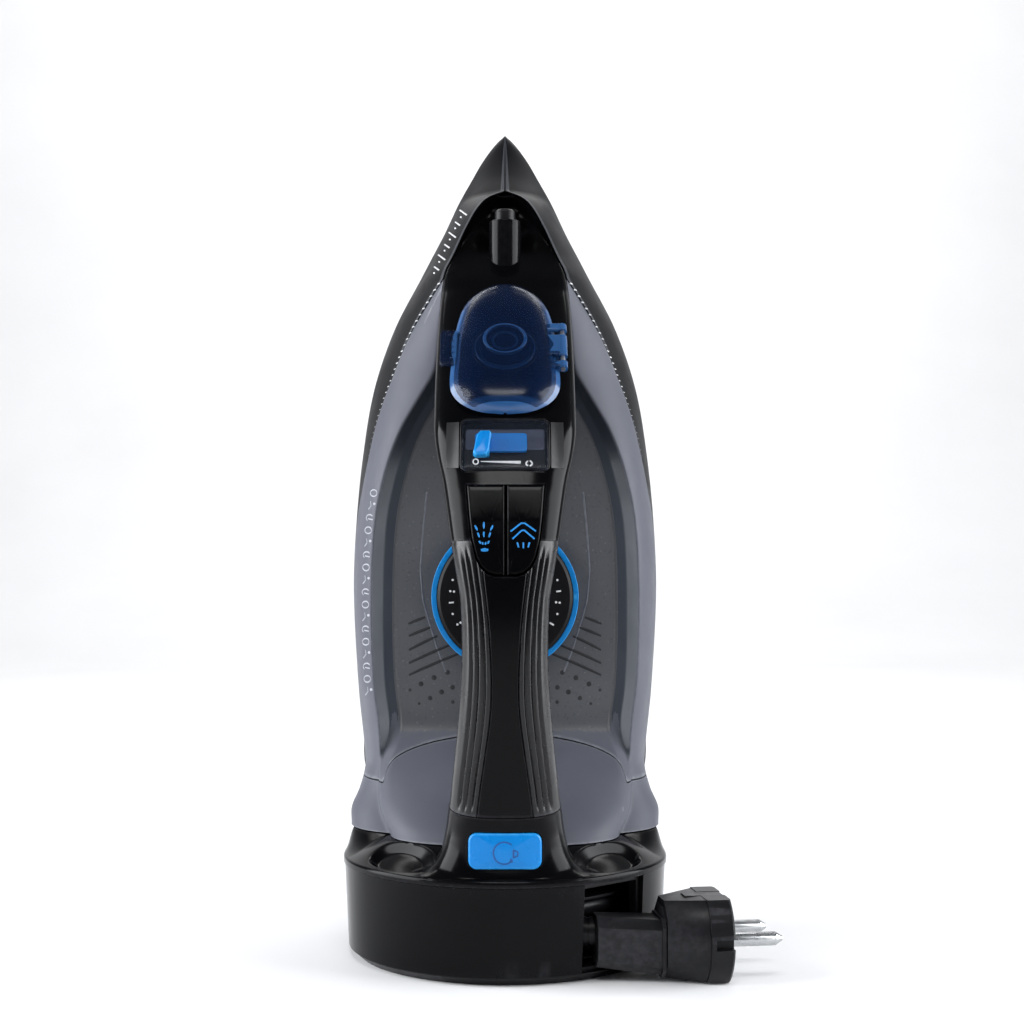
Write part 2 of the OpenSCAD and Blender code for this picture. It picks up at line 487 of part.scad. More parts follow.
module spine_cover() color("#0d0d0f") shell() difference() {
    union() {
        sheet(spine_grid(0), spine_grid(wall));
        for (z = [-8.6, 4.3]) on_spine(221, 39, 2.2) translate([20.6, 0, z]) {
            cylinder(r = 1.6, h = 2.3, $fn = 24);
            translate([-1.6, 0, 0]) cube([3.2, 6.4, 2.3]);
        }
    }
    gap_cut(wall + seam);
    along_y(-80, -44) shield();
    on_spine(185, 30) translate([0, 12, 0]) rotate([90, 0, 0]) linear_extrude(24) rounded(30, 20.4, 1.2);
    on_spine(221, 39) translate([0, -8, 0]) rotate([-90, 0, 0]) cylinder(r = 11.2, h = 16);
    for (z = [-12.2, -6.4, 6.5]) on_spine(221, 39, 2.2) translate([20.6, 0, z])
        cylinder(r = 2.1, h = z == -6.4 ? 10.8 : 3.9, $fn = 24);
    on_spine(221, 39, 2.2) translate([20.6, 0, -14]) cylinder(r = 0.9, h = 30, $fn = 24);
    translate([0, 15, 250]) cylinder(r = 6.25, h = 40);
}

// =================================================================== spray, filler, steam control
module spray_nozzle() color("#0f0f11") difference() {
    union() {
        translate([0, 15, 257.5]) cylinder(r = 6, h = 17.9);
    }
    translate([0, 15, 272.5]) cylinder(r = 4.6, h = 6);
    translate([0, 15, 250]) cylinder(r = 1.6, h = 30);
}
module nozzle_tip() color("#19191b") difference() {
    union() {
        translate([0, 15, 272.6]) cylinder(r = 3.9, h = 6.4);
        translate([0, 15, 272.6]) cylinder(r = 4.4, h = 1.2);
        translate([0, 15, 279]) cylinder(r1 = 3.9, r2 = 2.9, h = 1);
    }
    translate([0, 15, 270]) cylinder(r = 1.2, h = 8.4);
    translate([0, 15, 270]) cylinder(r = 0.4, h = 20, $fn = 24);
}
// a bent round lead: one ring of eight points at each stop of its route
module hose(pts, r) {
    n = len(pts);
    function dir(i) = let (v = pts[min(i + 1, n - 1)] - pts[max(i - 1, 0)]) v / norm(v);
    rings = [for (i = [0 : n - 1]) let (a = cross(dir(i), [1, 0, 0]), b = cross(dir(i), a))
        each [for (j = [0 : 7]) pts[i] + r * (cos(j * 45) * a / norm(a) + sin(j * 45) * b / norm(b))]];
    sides = [for (i = [0 : n - 2], j = [0 : 7]) let (k = (j + 1) % 8)
        each [[i * 8 + j, i * 8 + k, i * 8 + 8 + k], [i * 8 + j, i * 8 + 8 + k, i * 8 + 8 + j]]];
    ends = [for (j = [1 : 6]) each [[0, j + 1, j], [n * 8 - 8, n * 8 - 8 + j, n * 8 - 7 + j]]];
    f = concat(sides, ends);
    vol = [for (t = f) rings[t[0]] * cross(rings[t[1]], rings[t[2]])] * [for (t = f) 1];
    polyhedron(rings, vol < 0 ? f : [for (t = f) [t[2], t[1], t[0]]]);
}
module spray_hose() color("#c9d2d8") hose([[-7, -38.8, 164], [-9, -36.6, 172], [-17, -30, 190], [-17, 0, 216],
    [-12, 5, 236], [-4, 6, 249], [0, 9, 252.6], [0, 14.4, 255.2], [0, 15, 256.9]], 1.5);
module filler_collar() color("#17335e") on_spine(221, 39) difference() {
    union() {
        translate([0, -0.6, 0]) rotate([-90, 0, 0]) cylinder(r = 11, h = 12);
        translate([0, -1, 0]) rotate([-90, 0, 0]) cylinder(r = 8, h = 40);
        translate([0, -1.4, 0]) rotate([-90, 0, 0]) cylinder(r = 10.4, h = 1);
    }
    translate([0, -3, 0]) rotate([-90, 0, 0]) cylinder(r = 9.4, h = 6);
    translate([0, -3, 0]) rotate([-90, 0, 0]) cylinder(r = 6.8, h = 50);
    translate([-15, 33, -20]) rotate([39, 0, 0]) cube([30, 40, 60]);
}
module filler_seal() color("#1b3f78") on_spine(221, 39) difference() {
    translate([0, -3.6, 0]) rotate([-90, 0, 0]) cylinder(r = 8.9, h = 4);
    translate([0, -2.4, 0]) rotate([-90, 0, 0]) cylinder(r = 7.6, h = 5);
}
CAP_W = [[-33, 0.6], [-32.3, 7], [-30, 12.6], [-26, 17], [-20, 19.3], [-8, 19.1], [5, 18.2], [18, 16.1],
    [25.5, 13.2], [29.3, 10], [32, 5.6], [33, 0.6]];
function cap_grid(t) = [for (i = [-8 : 8]) let (z = 33 * sin(i * 11.25), w = max(sm(CAP_W, z) - t * 0.8,
    0.4), n = z / 33, h = 0.8 + 5.8 * (1 - abs(n)^(n < 0 ? 6 : 2.4))^0.6)
    [for (j = [-6 : 6]) let (u = sin(j / 6 * 90)) [w * u, -0.7 - max(h - t, 0) * (1 - abs(u)^3.2) - t
        * 0.15, z * (1 - t * 0.02)]]];
module filler_cap() color("#123a7a", 0.6) shell() on_spine(221, 39) {
    sheet(cap_grid(0), cap_grid(1.7));
    for (z = [[-12, 3], [-6.1, 10.2], [6.8, 3.2]]) difference() {
        union() {
            translate([20.6, -2.2, z[0]]) cylinder(r = 1.7, h = z[1], $fn = 24);
            translate([15, -3.9, z[0]]) cube([5.4, 1.8, z[1]]);
        }
        translate([20.6, -2.2, z[0] - 1]) cylinder(r = 0.86, h = z[1] + 2, $fn = 24);
    }
    translate([-23.2, -2.7, -10]) cube([6.6, 1.3, 17]);
    translate([0, -7, 0]) rotate([-90, 0, 0]) difference() {
        cylinder(r = 7.3, h = 3.2);
        translate([0, 0, -1]) cylinder(r = 6, h = 6);
    }
}
module cap_hinge_pin() color("#9a9da3") on_spine(221, 39, 2.2) translate([20.6, 0, -12.6])
    cylinder(r = 0.8, h = 23.2);
module steam_window() color("#2a3648", 0.6) on_spine(185, 30) difference() {
    union() {
        translate([-14.7, 1.2, -9.9]) cube([29.4, 1.2, 19.8]);
        for (s = [-1, 1]) translate([s * 13.6, 0.9, -9.9]) cylinder(r = 1.1, h = 19.8);
    }
    translate([-12.2, 0, 1.2]) cube([24.4, 4, 4.6]);
}
module steam_slider() color("#1e90e6") on_spine(185, 30) {
    difference() {
        translate([-10.4, -1.6, -2.8]) cube([5.8, 2.6, 10]);
        for (s = [-1, 1]) translate([-7.5 + s * 4.4, -3.4, -10]) rotate(s * 8) cube([2, 2.4, 30],
            center = false);
    }
    translate([-9.6, 0.6, 1.6]) cube([4.2, 3, 3.8]);
    translate([-10.4, 2.8, -2]) cube([18, 1.1, 8.8]);
    translate([-10.4, -0.2, -2]) cube([5.8, 1.1, 8.8]);
}
module valve_rod() color("#b9bbbf") { rod_y(0, 185, -42, 45.6, 1.6); rod_y(0, 185, -44, -42, 3.6);
    translate([0, 47.4, 185]) rotate([90, 0, 0]) cylinder(r1 = 0.5, r2 = 1.6, h = 1.8); }
module valve_seat() color("#d9d9d4") difference() {
    rod_y(0, 185, 42.9, 46, 4);
    rod_y(0, 185, 40, 50, 1.66);
}
module press_button(s) {
    difference() {
        along_y(-64.6, -58.4) intersection() {
            translate([0.26, 155.5]) scale([0.955, 0.975]) translate([-0.26, -155.5]) shield();
            translate([s > 0 ? 0.75 : -20, 130]) square([19.7, 50]);
        }
        translate([-30, -64.6, 159]) rotate([-21, 0, 0]) translate([0, -12, 0]) cube([60, 12, 30]);
    }
    rod_y(s * 7, 164, -58.6, -47, 3.4);
}
module spray_button() color("#151517") press_button(-1);
module steam_button() color("#151517") press_button(1);
module pump_barrels() color("#cfd3d6") for (s = [-1, 1]) difference() {
    rod_y(s * 7, 164, -52, -40.6, 4.8);
    rod_y(s * 7, 164, -60, -42, 3.46);
    rod_y(s * 7, 164, -60, -30, 0.8);
}
module button_springs() color("#8d9096") for (s = [-1, 1], i = [0 : 3])
    translate([s * 7, -57.6 + i * 1.6, 164]) coil(4.1, 0.35);

// =================================================================== dial
module temperature_dial() color("#101012") difference() {
    union() {
        rod_y(0, dial_z, 8.6, 11.8, dial_r - 2.1);
        translate([0, 8.7, dial_z]) rotate([90, 0, 0]) cylinder(r1 = dial_r - 2.2, r2 = dial_r - 3.4,
            h = 0.9);
        for (i = [0 : 23]) translate([0, 9.4, dial_z]) rotate([0, i * 15, 0]) translate([dial_r - 3.2, 0,
            -1]) cube([1.04, 2.2, 2]);
    }
    rod_y(0, dial_z, 9.4, 13, 2.53);
}
module dial_ring() color("#1e90e6") difference() {
    rod_y(0, dial_z, 9.6, 11.7, dial_r);
    rod_y(0, dial_z, 9, 12, dial_r - 2.06);
}
module dial_shaft() color("#b9bbbf") { rod_y(0, dial_z, 9.6, 45, 2.5); rod_y(0, dial_z, 45, 46.5, 1.4); }

// =================================================================== handle
// how deep the under cover is dished across, and where the grips end behind it
function under_dip(z) = 4.6 * (1 - ease((z - 140) / 12));
function grip_back(z) = -40.7 - 0.86 * under_dip(z);
BAND_X = [[60, 9.8], [75, 7.4], [97, 4.7], [120, 5.3], [140, 7.4], [152, 9]];
function grip_rows() = [for (i = [0 : 12]) mix(grip_lo, grip_hi - seam, i / 12)];
function end_z(z, u) = z - 3.2 * (1 - min(abs(u) / 0.7, 1)^2) * ease((70 - z) / 12);
function band_u(z, d) = 0.7 * asin(((sm(BAND_X, z) + d) / sm(HANDLE_W, z))^1.25) / 90;
function grip_pt(z, u, t, s) = let (w = sm(HANDLE_W, z) - t, ys = sm(HANDLE_Y, z) + t) sec(w, ys, 13,
    grip_back(z), u * s, end_z(z, u));
module grip(s) color("#161618") shell() difference() {
    sheet([for (z = grip_rows()) [for (j = [0 : 9]) grip_pt(z, mix(band_u(z, 0.13), 1, j / 9), 0, s)]],
        [for (z = grip_rows()) [for (j = [0 : 9]) grip_pt(z, mix(band_u(z, 0.13), 1, j / 9), wall, s)]]);
    along_y(-80, -50) shield();
}
module grip_left() grip(-1);
module grip_right() grip(1);
module handle_top() color("#0d0d0f") shell() difference() {
    sheet([for (z = grip_rows()) [for (j = [-4 : 4]) grip_pt(z, j / 4 * band_u(z, -0.13), 0, 1)]],
        [for (z = grip_rows()) [for (j = [-4 : 4]) grip_pt(z, j / 4 * band_u(z, -0.13), wall, 1)]]);
    along_y(-80, -50) shield();
}
function under_w(i) = let (z = GAP[i][1]) z < 60 ? sm(NECK_W, z) - 2.6 : (z < 152 ? sm(HANDLE_W, z)
    : sm(SPINE_W, z)) - 0.3;
function under_grid(t) = [for (i = [0 : len(GAP) - 1]) let (n = gap_n(i), w = under_w(i))
    [for (j = [-8 : 8]) let (u = j / 8, d = t + under_dip(GAP[i][1]) * (1 - sqrt(max(1 - u * u * 0.98, 0))))
        [(w - t * 0.9) * sin(u * 90), GAP[i][0] + d * n[0], GAP[i][1] + d * n[1]]]];
module handle_under() color("#121214") shell() sheet(under_grid(0), under_grid(wall));
module terminal_block() color("#cbb68c") difference() {
    translate([-8, -54, 76]) cube([16, 9, 20]);
    for (x = [-4, 4]) { translate([x, -49.5, 70]) cylinder(r = 1.5, h = 40); for (z = [80, 92]) rod_y(x,
        z, -60, -50, 1.6); }
}
module supply_wires() {
    for (s = [-1, 1]) color(s < 0 ? "#6b3d1e" : "#2a5fb0")
        hose([[s * 6, 50, 38.6], [s * 8, 22, 40.2], [s * 11, -30, 40.4], [s * 11, -43, 40.8],
            [s * 11, -46, 46], [s * 10, -46, 62], [s * 4, -49.5, 72], [s * 4, -49.5, 75.6]], 1.1);
}
module handle_screw() color("#8d9096") { rod_y(0, 108, -62, -41.6, 1.5); rod_y(0, 108, -42.6, -40.6, 3); }

heel_base();
drum_housing();
heel_cover();
outlet_frame();
reel_axle();
reel_spool();
reel_spring();
slip_rings();
contact_bridge();
wound_cord();
cord_lead();
plug_body();
plug_face();
plug_pins();
earth_clips();
rewind_button();
rewind_spring();
brake_rocker();
rocker_pin();
base_screws();
soleplate();
heating_element();
steam_chamber_lid();
thermostat();
thermal_fuse();
sole_screws();
nose_skirt();
water_tank();
tank_floor();
tank_seal();
rear_saddle();
spine_cover();
spray_nozzle();
nozzle_tip();
spray_hose();
filler_collar();
filler_seal();
filler_cap();
cap_hinge_pin();
steam_window();
steam_slider();
valve_rod();
valve_seat();
spray_button();
steam_button();
pump_barrels();
button_springs();
temperature_dial();
dial_ring();
dial_shaft();
handle_top();
grip_left();
grip_right();
handle_under();
terminal_block();
supply_wires();
handle_screw();
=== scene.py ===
"""Looks of the steam iron: the CAD shells again as fine smooth meshes, procedural materials, marks, light."""
import json
import math
import bmesh
import bpy
import numpy as np
from mathutils.bvhtree import BVHTree
from mathutils import Matrix, Vector


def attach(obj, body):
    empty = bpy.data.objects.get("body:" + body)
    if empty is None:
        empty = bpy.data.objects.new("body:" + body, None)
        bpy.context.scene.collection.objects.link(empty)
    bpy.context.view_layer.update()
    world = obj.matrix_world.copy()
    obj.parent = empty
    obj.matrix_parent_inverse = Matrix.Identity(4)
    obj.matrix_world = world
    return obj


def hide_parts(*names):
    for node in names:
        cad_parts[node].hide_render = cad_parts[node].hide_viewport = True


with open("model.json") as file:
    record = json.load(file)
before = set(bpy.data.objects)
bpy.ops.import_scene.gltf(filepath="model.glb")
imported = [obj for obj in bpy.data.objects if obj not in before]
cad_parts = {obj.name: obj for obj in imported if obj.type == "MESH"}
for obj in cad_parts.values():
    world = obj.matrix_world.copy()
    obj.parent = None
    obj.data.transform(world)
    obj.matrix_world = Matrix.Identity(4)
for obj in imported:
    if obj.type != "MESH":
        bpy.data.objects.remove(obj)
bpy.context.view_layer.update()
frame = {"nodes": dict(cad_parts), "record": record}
nodes = frame["nodes"]
scene = bpy.context.scene
rad = np.radians
MM = 0.001
EYE = np.array([0.0, -610.0, 145.0])  # the camera's place, mm


def new_object(name, data):
    ob = bpy.data.objects.new(name, data)
    scene.collection.objects.link(ob)
    return ob


# ---- camera
cam = bpy.data.cameras.new("camera")
cam.sensor_width = 36
cam.lens = 57.13
cam.shift_x, cam.shift_y = 7 / 1024, 49 / 1024
cam.clip_start = 0.01
scene.camera = new_object("camera", cam)
scene.camera.location = EYE * MM
scene.camera.rotation_euler = (math.radians(90), 0, 0)


# ---- materials
mats = {}


class Shader:
    """A principled material with small helpers for its node tree."""

    def __init__(self, name):
        self.mat = mats[name] = bpy.data.materials.new(name)
        self.mat.use_nodes = True
        self.tree = self.mat.node_tree
        self.bsdf = self.tree.nodes["Principled BSDF"]
        self.coord = self.tree.nodes.new("ShaderNodeTexCoord").outputs["Object"]

    def node(self, kind, **inputs):
        n = self.tree.nodes.new(kind)
        for key, value in inputs.items():
            if hasattr(value, "links"):
                self.tree.links.new(value, n.inputs[key])
            else:
                n.inputs[key].default_value = value
        return n

    def link(self, out, key):
        self.tree.links.new(out, self.bsdf.inputs[key])

    def put(self, **values):
        for key, value in values.items():
            self.bsdf.inputs[key.replace("_", " ")].default_value = value

    def stretched(self, scale):
        m = self.tree.nodes.new("ShaderNodeMapping")
        m.inputs["Scale"].default_value = scale
        self.tree.links.new(self.coord, m.inputs["Vector"])
        return m.outputs[0]

    def noise(self, scale, detail=3.0, rough=0.55, vector=None):
        return self.node("ShaderNodeTexNoise", Vector=vector or self.coord, Scale=scale, Detail=detail,
                         Roughness=rough).outputs["Fac"]

    def remap(self, value, lo, hi, a=0.0, b=1.0):
        n = self.node("ShaderNodeMapRange", Value=value)
        for key, v in (("From Min", lo), ("From Max", hi), ("To Min", a), ("To Max", b)):
            n.inputs[key].default_value = v
        return n.outputs[0]

    def ramp(self, value, stops):
        n = self.node("ShaderNodeValToRGB", Fac=value)
        el = n.color_ramp.elements
        while len(el) < len(stops):
            el.new(0.5)
        for e, (at, col) in zip(el, stops):
            e.position = at
            e.color = (*col, 1)
        return n.outputs["Color"]

    def math(self, op, a, b):
        n = self.tree.nodes.new("ShaderNodeMath")
        n.operation = op
        for i, v in enumerate((a, b)):
            if hasattr(v, "links"):
                self.tree.links.new(v, n.inputs[i])
            else:
                n.inputs[i].default_value = v
        return n.outputs[0]

    def mix(self, fac, a, b):
        n = self.tree.nodes.new("ShaderNodeMix")
        n.data_type = "RGBA"
        self.tree.links.new(fac, n.inputs["Factor"])
        for key, v in (("A", a), ("B", b)):
            sock = [s for s in n.inputs if s.name == key and s.type == "RGBA"][0]
            if hasattr(v, "links"):
                self.tree.links.new(v, sock)
            else:
                sock.default_value = (*v, 1)
        return [s for s in n.outputs if s.type == "RGBA"][0]

    def bump(self, height, strength, distance=0.0003):
        n = self.node("ShaderNodeBump", Height=height, Strength=strength, Distance=distance)
        self.link(n.outputs["Normal"], "Normal")


def plastic(name, dark, light, rough, grain, depth, edge=None, spec=0.5, alpha=1.0):
    """Moulded plastic: faint mottling, uneven gloss, moulding grain, fine scuffs, and paler edges that are
    partly wear and partly a painted highlight.
    """
    s = Shader(name)
    base = s.ramp(s.noise(25, 4.0), [(0.34, dark), (0.68, light)])
    scuff = s.noise(260, 5.0, 0.7, s.stretched((1.0, 0.5, 0.16)))
    wear = s.remap(scuff, 0.62, 0.74)
    # paler sharply convex edges: partly wear, partly a painted highlight
    if edge:
        geo = s.tree.nodes.new("ShaderNodeNewGeometry").outputs["Pointiness"]
        wear_and_sheen = s.math("MULTIPLY", s.remap(geo, 0.515, 0.56),
                      s.remap(s.noise(420, 3.0), 0.35, 0.65, 0.35, 1.0))
        base = s.mix(wear_and_sheen, base, edge)
    s.link(base, "Base Color")
    soft = s.remap(s.noise(90, 4.0), 0.3, 0.7, rough[0], rough[1])
    s.link(s.math("ADD", soft, s.math("MULTIPLY", wear, 0.06)), "Roughness")
    s.bump(s.math("ADD", s.noise(grain, 2.0), s.math("MULTIPLY", scuff, 0.25)), depth)
    s.put(Specular_IOR_Level=spec, Alpha=alpha)


def metal(name, dark, light, rough=(0.25, 0.4), brushed=(1.0, 1.0, 1.0), scale=600, depth=0.04):
    s = Shader(name)
    grain = s.noise(scale, 6.0, 0.6, s.stretched(brushed))
    s.link(s.ramp(grain, [(0.3, dark), (0.7, light)]), "Base Color")
    s.link(s.remap(s.noise(140, 4.0), 0.3, 0.7, rough[0], rough[1]), "Roughness")
    s.bump(grain, depth, 0.0002)
    s.put(Metallic=1.0)


def tank_panel(name):
    """The tank's smoky lower field: darker, with a fine scatter of pale and dark specks."""
    s = Shader(name)
    base = s.ramp(s.noise(14, 3.0), [(0.3, (0.060, 0.062, 0.070)), (0.7, (0.082, 0.085, 0.095))])
    cells = s.node("ShaderNodeTexVoronoi", Vector=s.coord, Scale=520)
    speck = s.remap(cells.outputs["Distance"], 0.10, 0.22, 0.55, 0.0)
    gate = s.remap(s.noise(300, 2.0), 0.46, 0.56)
    base = s.mix(s.math("MULTIPLY", speck, gate), base, (0.15, 0.155, 0.17))
    dots = s.remap(s.noise(900, 2.0), 0.60, 0.70, 0.0, 0.4)
    s.link(s.mix(dots, base, (0.035, 0.036, 0.042)), "Base Color")
    s.link(s.remap(s.noise(110, 4.0), 0.3, 0.7, 0.36, 0.46), "Roughness")
    s.bump(s.noise(1600, 2.0), 0.06)


def printed(name, dark, light):
    s = Shader(name)
    s.link(s.ramp(s.noise(900, 3.0), [(0.3, dark), (0.7, light)]), "Base Color")
    s.link(s.remap(s.noise(500, 3.0), 0.3, 0.7, 0.4, 0.55), "Roughness")


plastic("black_gloss", (0.0012, 0.0012, 0.0016), (0.0022, 0.0022, 0.0028), (0.13, 0.2), 2600, 0.012,
        edge=(0.014, 0.014, 0.017), spec=0.11)
plastic("black_satin", (0.004, 0.004, 0.005), (0.007, 0.007, 0.0085), (0.32, 0.44), 2200, 0.06,
        edge=(0.028, 0.028, 0.032), spec=0.2)
plastic("grip_black", (0.003, 0.003, 0.004), (0.006, 0.006, 0.007), (0.22, 0.32), 3000, 0.05,
        edge=(0.03, 0.03, 0.035), spec=0.36)
plastic("tank_grey", (0.080, 0.084, 0.104), (0.095, 0.099, 0.121), (0.42, 0.52), 2400, 0.05,
        edge=(0.16, 0.166, 0.19), spec=0.18)
plastic("blue", (0.001, 0.185, 0.56), (0.002, 0.215, 0.62), (0.24, 0.32), 2600, 0.03,
        edge=(0.05, 0.40, 0.80), spec=0.3)
plastic("dial_black", (0.003, 0.003, 0.0036), (0.006, 0.006, 0.007), (0.3, 0.4), 2600, 0.03,
        edge=(0.02, 0.02, 0.024), spec=0.15)
metal("steel", (0.42, 0.43, 0.45), (0.60, 0.61, 0.63))
metal("spring_steel", (0.30, 0.31, 0.33), (0.48, 0.49, 0.5))
metal("nickel", (0.42, 0.43, 0.44), (0.54, 0.55, 0.56), (0.22, 0.32))
metal("brass", (0.60, 0.38, 0.12), (0.75, 0.52, 0.20))
metal("aluminium", (0.40, 0.41, 0.43), (0.58, 0.59, 0.61), (0.18, 0.30), (1.0, 1.0, 0.03), 900, 0.05)
metal("element", (0.20, 0.17, 0.15), (0.32, 0.28, 0.25), (0.45, 0.6))
plastic("laminate", (0.42, 0.27, 0.12), (0.52, 0.36, 0.18), (0.45, 0.6), 1500, 0.08)
plastic("ceramic", (0.62, 0.58, 0.50), (0.72, 0.68, 0.60), (0.35, 0.5), 1500, 0.06)
plastic("natural_plastic", (0.62, 0.61, 0.57), (0.72, 0.71, 0.67), (0.35, 0.5), 1800, 0.05)
plastic("silicone", (0.48, 0.52, 0.54), (0.60, 0.63, 0.65), (0.4, 0.5), 1500, 0.05)
plastic("tank_inner", (0.05, 0.052, 0.06), (0.07, 0.072, 0.08), (0.35, 0.45), 1800, 0.05)
plastic("wire", (0.12, 0.035, 0.012), (0.17, 0.05, 0.02), (0.35, 0.5), 1800, 0.04)
# the clear parts: the cap's middle, its flanks with a fainter painted highlight and its edge with a painted
# highlight, then the window
plastic("clear_blue", (0.0016, 0.0075, 0.030), (0.0026, 0.0110, 0.042), (0.17, 0.24), 900, 0.01, alpha=0.58,
        spec=0.3)
plastic("clear_dim_highlight", (0.005, 0.024, 0.080), (0.008, 0.034, 0.110), (0.17, 0.24), 900, 0.01, alpha=0.75,
        spec=0.35)
plastic("clear_edge_highlight", (0.020, 0.080, 0.22), (0.032, 0.110, 0.29), (0.12, 0.2), 900, 0.02, alpha=0.85,
        spec=0.6)
plastic("inner_blue", (0.030, 0.150, 0.48), (0.045, 0.190, 0.58), (0.2, 0.3), 900, 0.03)
plastic("smoked", (0.020, 0.026, 0.040), (0.032, 0.040, 0.058), (0.05, 0.11), 1200, 0.01, alpha=0.2,
        spec=0.35)
# surfaces within one part that look different from the rest of it
plastic("blue_plate", (0.001, 0.24, 0.85), (0.002, 0.30, 0.95), (0.3, 0.4), 1200, 0.03)
plastic("skirt", (0.0045, 0.0045, 0.0056), (0.0075, 0.0075, 0.009), (0.40, 0.50), 2200, 0.04, spec=0.12)
metal("dark_clip", (0.05, 0.05, 0.053), (0.09, 0.09, 0.094), (0.4, 0.5))
# painted highlight along the nose's arch ridge
plastic("ridge", (0.040, 0.043, 0.050), (0.052, 0.055, 0.064), (0.4, 0.5), 2200, 0.04, spec=0.15)
# painted shade: the dark band inside the tank's crest, where its sloped wall faces away from the light
plastic("groove", (0.034, 0.041, 0.054), (0.042, 0.049, 0.063), (0.34, 0.44), 2400, 0.05, spec=0.3)
tank_panel("panel")
printed("haze", (0.085, 0.100, 0.170), (0.105, 0.122, 0.200))
printed("shoulder", (0.0035, 0.004, 0.005), (0.0055, 0.006, 0.0075))
printed("white_print", (0.50, 0.51, 0.53), (0.66, 0.67, 0.69))
printed("dim_print", (0.27, 0.28, 0.32), (0.36, 0.37, 0.41))
printed("dark_print", (0.008, 0.008, 0.010), (0.014, 0.014, 0.017))
printed("blue_print", (0.004, 0.22, 0.62), (0.008, 0.26, 0.70))
printed("deep_blue_print", (0.002, 0.055, 0.24), (0.003, 0.070, 0.29))


# ---- stations, the same as the CAD's
def smooth_table(flat):
    """A cubic through [place, value, place, value, ...]."""
    t = np.array(flat, float).reshape(-1, 2)
    X, V = t[:, 0], t[:, 1]
    n = len(X)
    lo, hi = np.maximum(np.arange(n) - 1, 0), np.minimum(np.arange(n) + 1, n - 1)
    T = (V[hi] - V[lo]) / (X[hi] - X[lo])

    def at(x):
        x = np.clip(np.asarray(x, float), X[0], X[-1])
        i = np.clip(np.searchsorted(X, x, side="left") - 1, 0, n - 2)
        h = X[i + 1] - X[i]
        s = (x - X[i]) / h
        return (V[i] * (2 * s**3 - 3 * s**2 + 1) + V[i + 1] * (3 * s**2 - 2 * s**3)
                + h * (T[i] * (s**3 - 2 * s**2 + s) + T[i + 1] * (s**3 - s**2)))
    return at


half_w = smooth_table([45, 57.2, 50.4, 58.4, 57, 56.4, 67, 56, 94, 58.6, 133, 60.6, 161, 59.5, 188, 56.8,
                       214, 52.3, 238, 44.1, 259, 33.2, 275, 25, 289.5, 18.6, 300, 13.2, 307, 9.5, 313, 5.6,
                       317, 2.4, 318.4, 0.7])
base_y = smooth_table([45, 42, 265, 42, 285, 46, 300, 50.5, 318.4, 56])
crest_x = smooth_table([45, 42, 52, 46, 60, 47.5, 80, 48, 100, 50.3, 133, 51, 161, 49.5, 180, 45.5, 195, 40,
                        208, 32.5, 218, 27, 236, 25, 254, 23.2, 263, 19.6, 275, 14.6, 284, 9.8, 288.5, 5.2,
                        290.5, 0])
crest_y = smooth_table([45, -12, 52, -3, 60, 4, 72, 8.6, 133, 8, 218, 8, 236, 7, 254, 10, 263, 15, 275, 20,
                        285, 25, 290.5, 30, 300, 40, 310, 48.5, 318.4, 53])
black_q0 = smooth_table([132, 0.02, 150, 0.12, 165, 0.3, 180, 0.43, 208, 0.46, 222, 0.5, 237, 0.65, 247, 0.84,
                         252.5, 1])
top_y = smooth_table([45, -40, 50, -35, 56, -26, 62, -14, 68, -3, 74, 6, 80, 11, 86, 12.6, 100, 12.6])
spine_w = smooth_table([139, 16.4, 150, 18.3, 172, 21.6, 182, 23.8, 192, 25, 238, 24.6, 254, 22.8, 263, 18.9,
                        275, 14.2, 284, 9.4, 288.2, 4.9, 290, 1])
spine_y = smooth_table([139, -67.6, 152, -65.6, 164, -62, 172, -58.6, 190, -50, 200, -42.5, 225, -22.5,
                        250, 0, 260, 12, 275, 30, 283, 35, 290, 30])
handle_w = smooth_table([45, 24, 52, 21, 59, 19.6, 69.5, 18.3, 90, 16.2, 111, 14.8, 131, 15.2, 139, 16.4,
                         150, 18.3])
handle_y = smooth_table([45, -57, 60, -58, 80, -62.5, 110, -67, 139, -67.6, 152, -65.6])
neck_w = smooth_table([36.6, 33, 39, 26.5, 43, 23, 50, 21, 59.6, 19.6])
neck_y = smooth_table([35.6, -58.6, 37.6, -57.6, 45, -57.4, 59.9, -58.1])
band_x = smooth_table([60, 9.8, 75, 7.4, 97, 4.7, 120, 5.3, 140, 7.4, 152, 9])
cap_w = smooth_table([-33, 0.6, -32.3, 7, -30, 12.6, -26, 17, -20, 19.3, -8, 19.1, 5, 18.2, 18, 16.1,
                      25.5, 13.2, 29.3, 10, 32, 5.6, 33, 0.6])
gap_y = smooth_table([47, -39.4, 53, -39.6, 59, -39.4, 61.4, -39.2, 66, -39, 80, -38.4, 110, -38, 140, -38,
                      154, -37.2, 165, -34, 173, -28, 178.6, -18, 180.6, -6])
WALL, SEAM, SOLE_Y, DRUM_TOP = 2.2, 0.28, 64.0, 33.8


def runs(*parts):
    """Even stretches one after another, each (from, to, count), with their shared ends once."""
    parts = [np.linspace(*part) for part in parts]
    return np.concatenate([part[:-1] for part in parts[:-1]] + parts[-1:])


def unit(v):
    return v / np.maximum(np.linalg.norm(v, axis=1, keepdims=True), 1e-9)


def normals(pts):
    """Unit normals, to the left, of an open line in a plane."""
    t = unit(np.gradient(pts, axis=0))
    return np.stack([-t[:, 1], t[:, 0]], -1)


def mix(a, b, s):
    return a + (b - a) * s


def ease(x):
    c = np.clip(x, 0, 1)
    return c * c * (3 - 2 * c)


def black_q(z):
    return black_q0(z) * ease((z - 124) / 10)


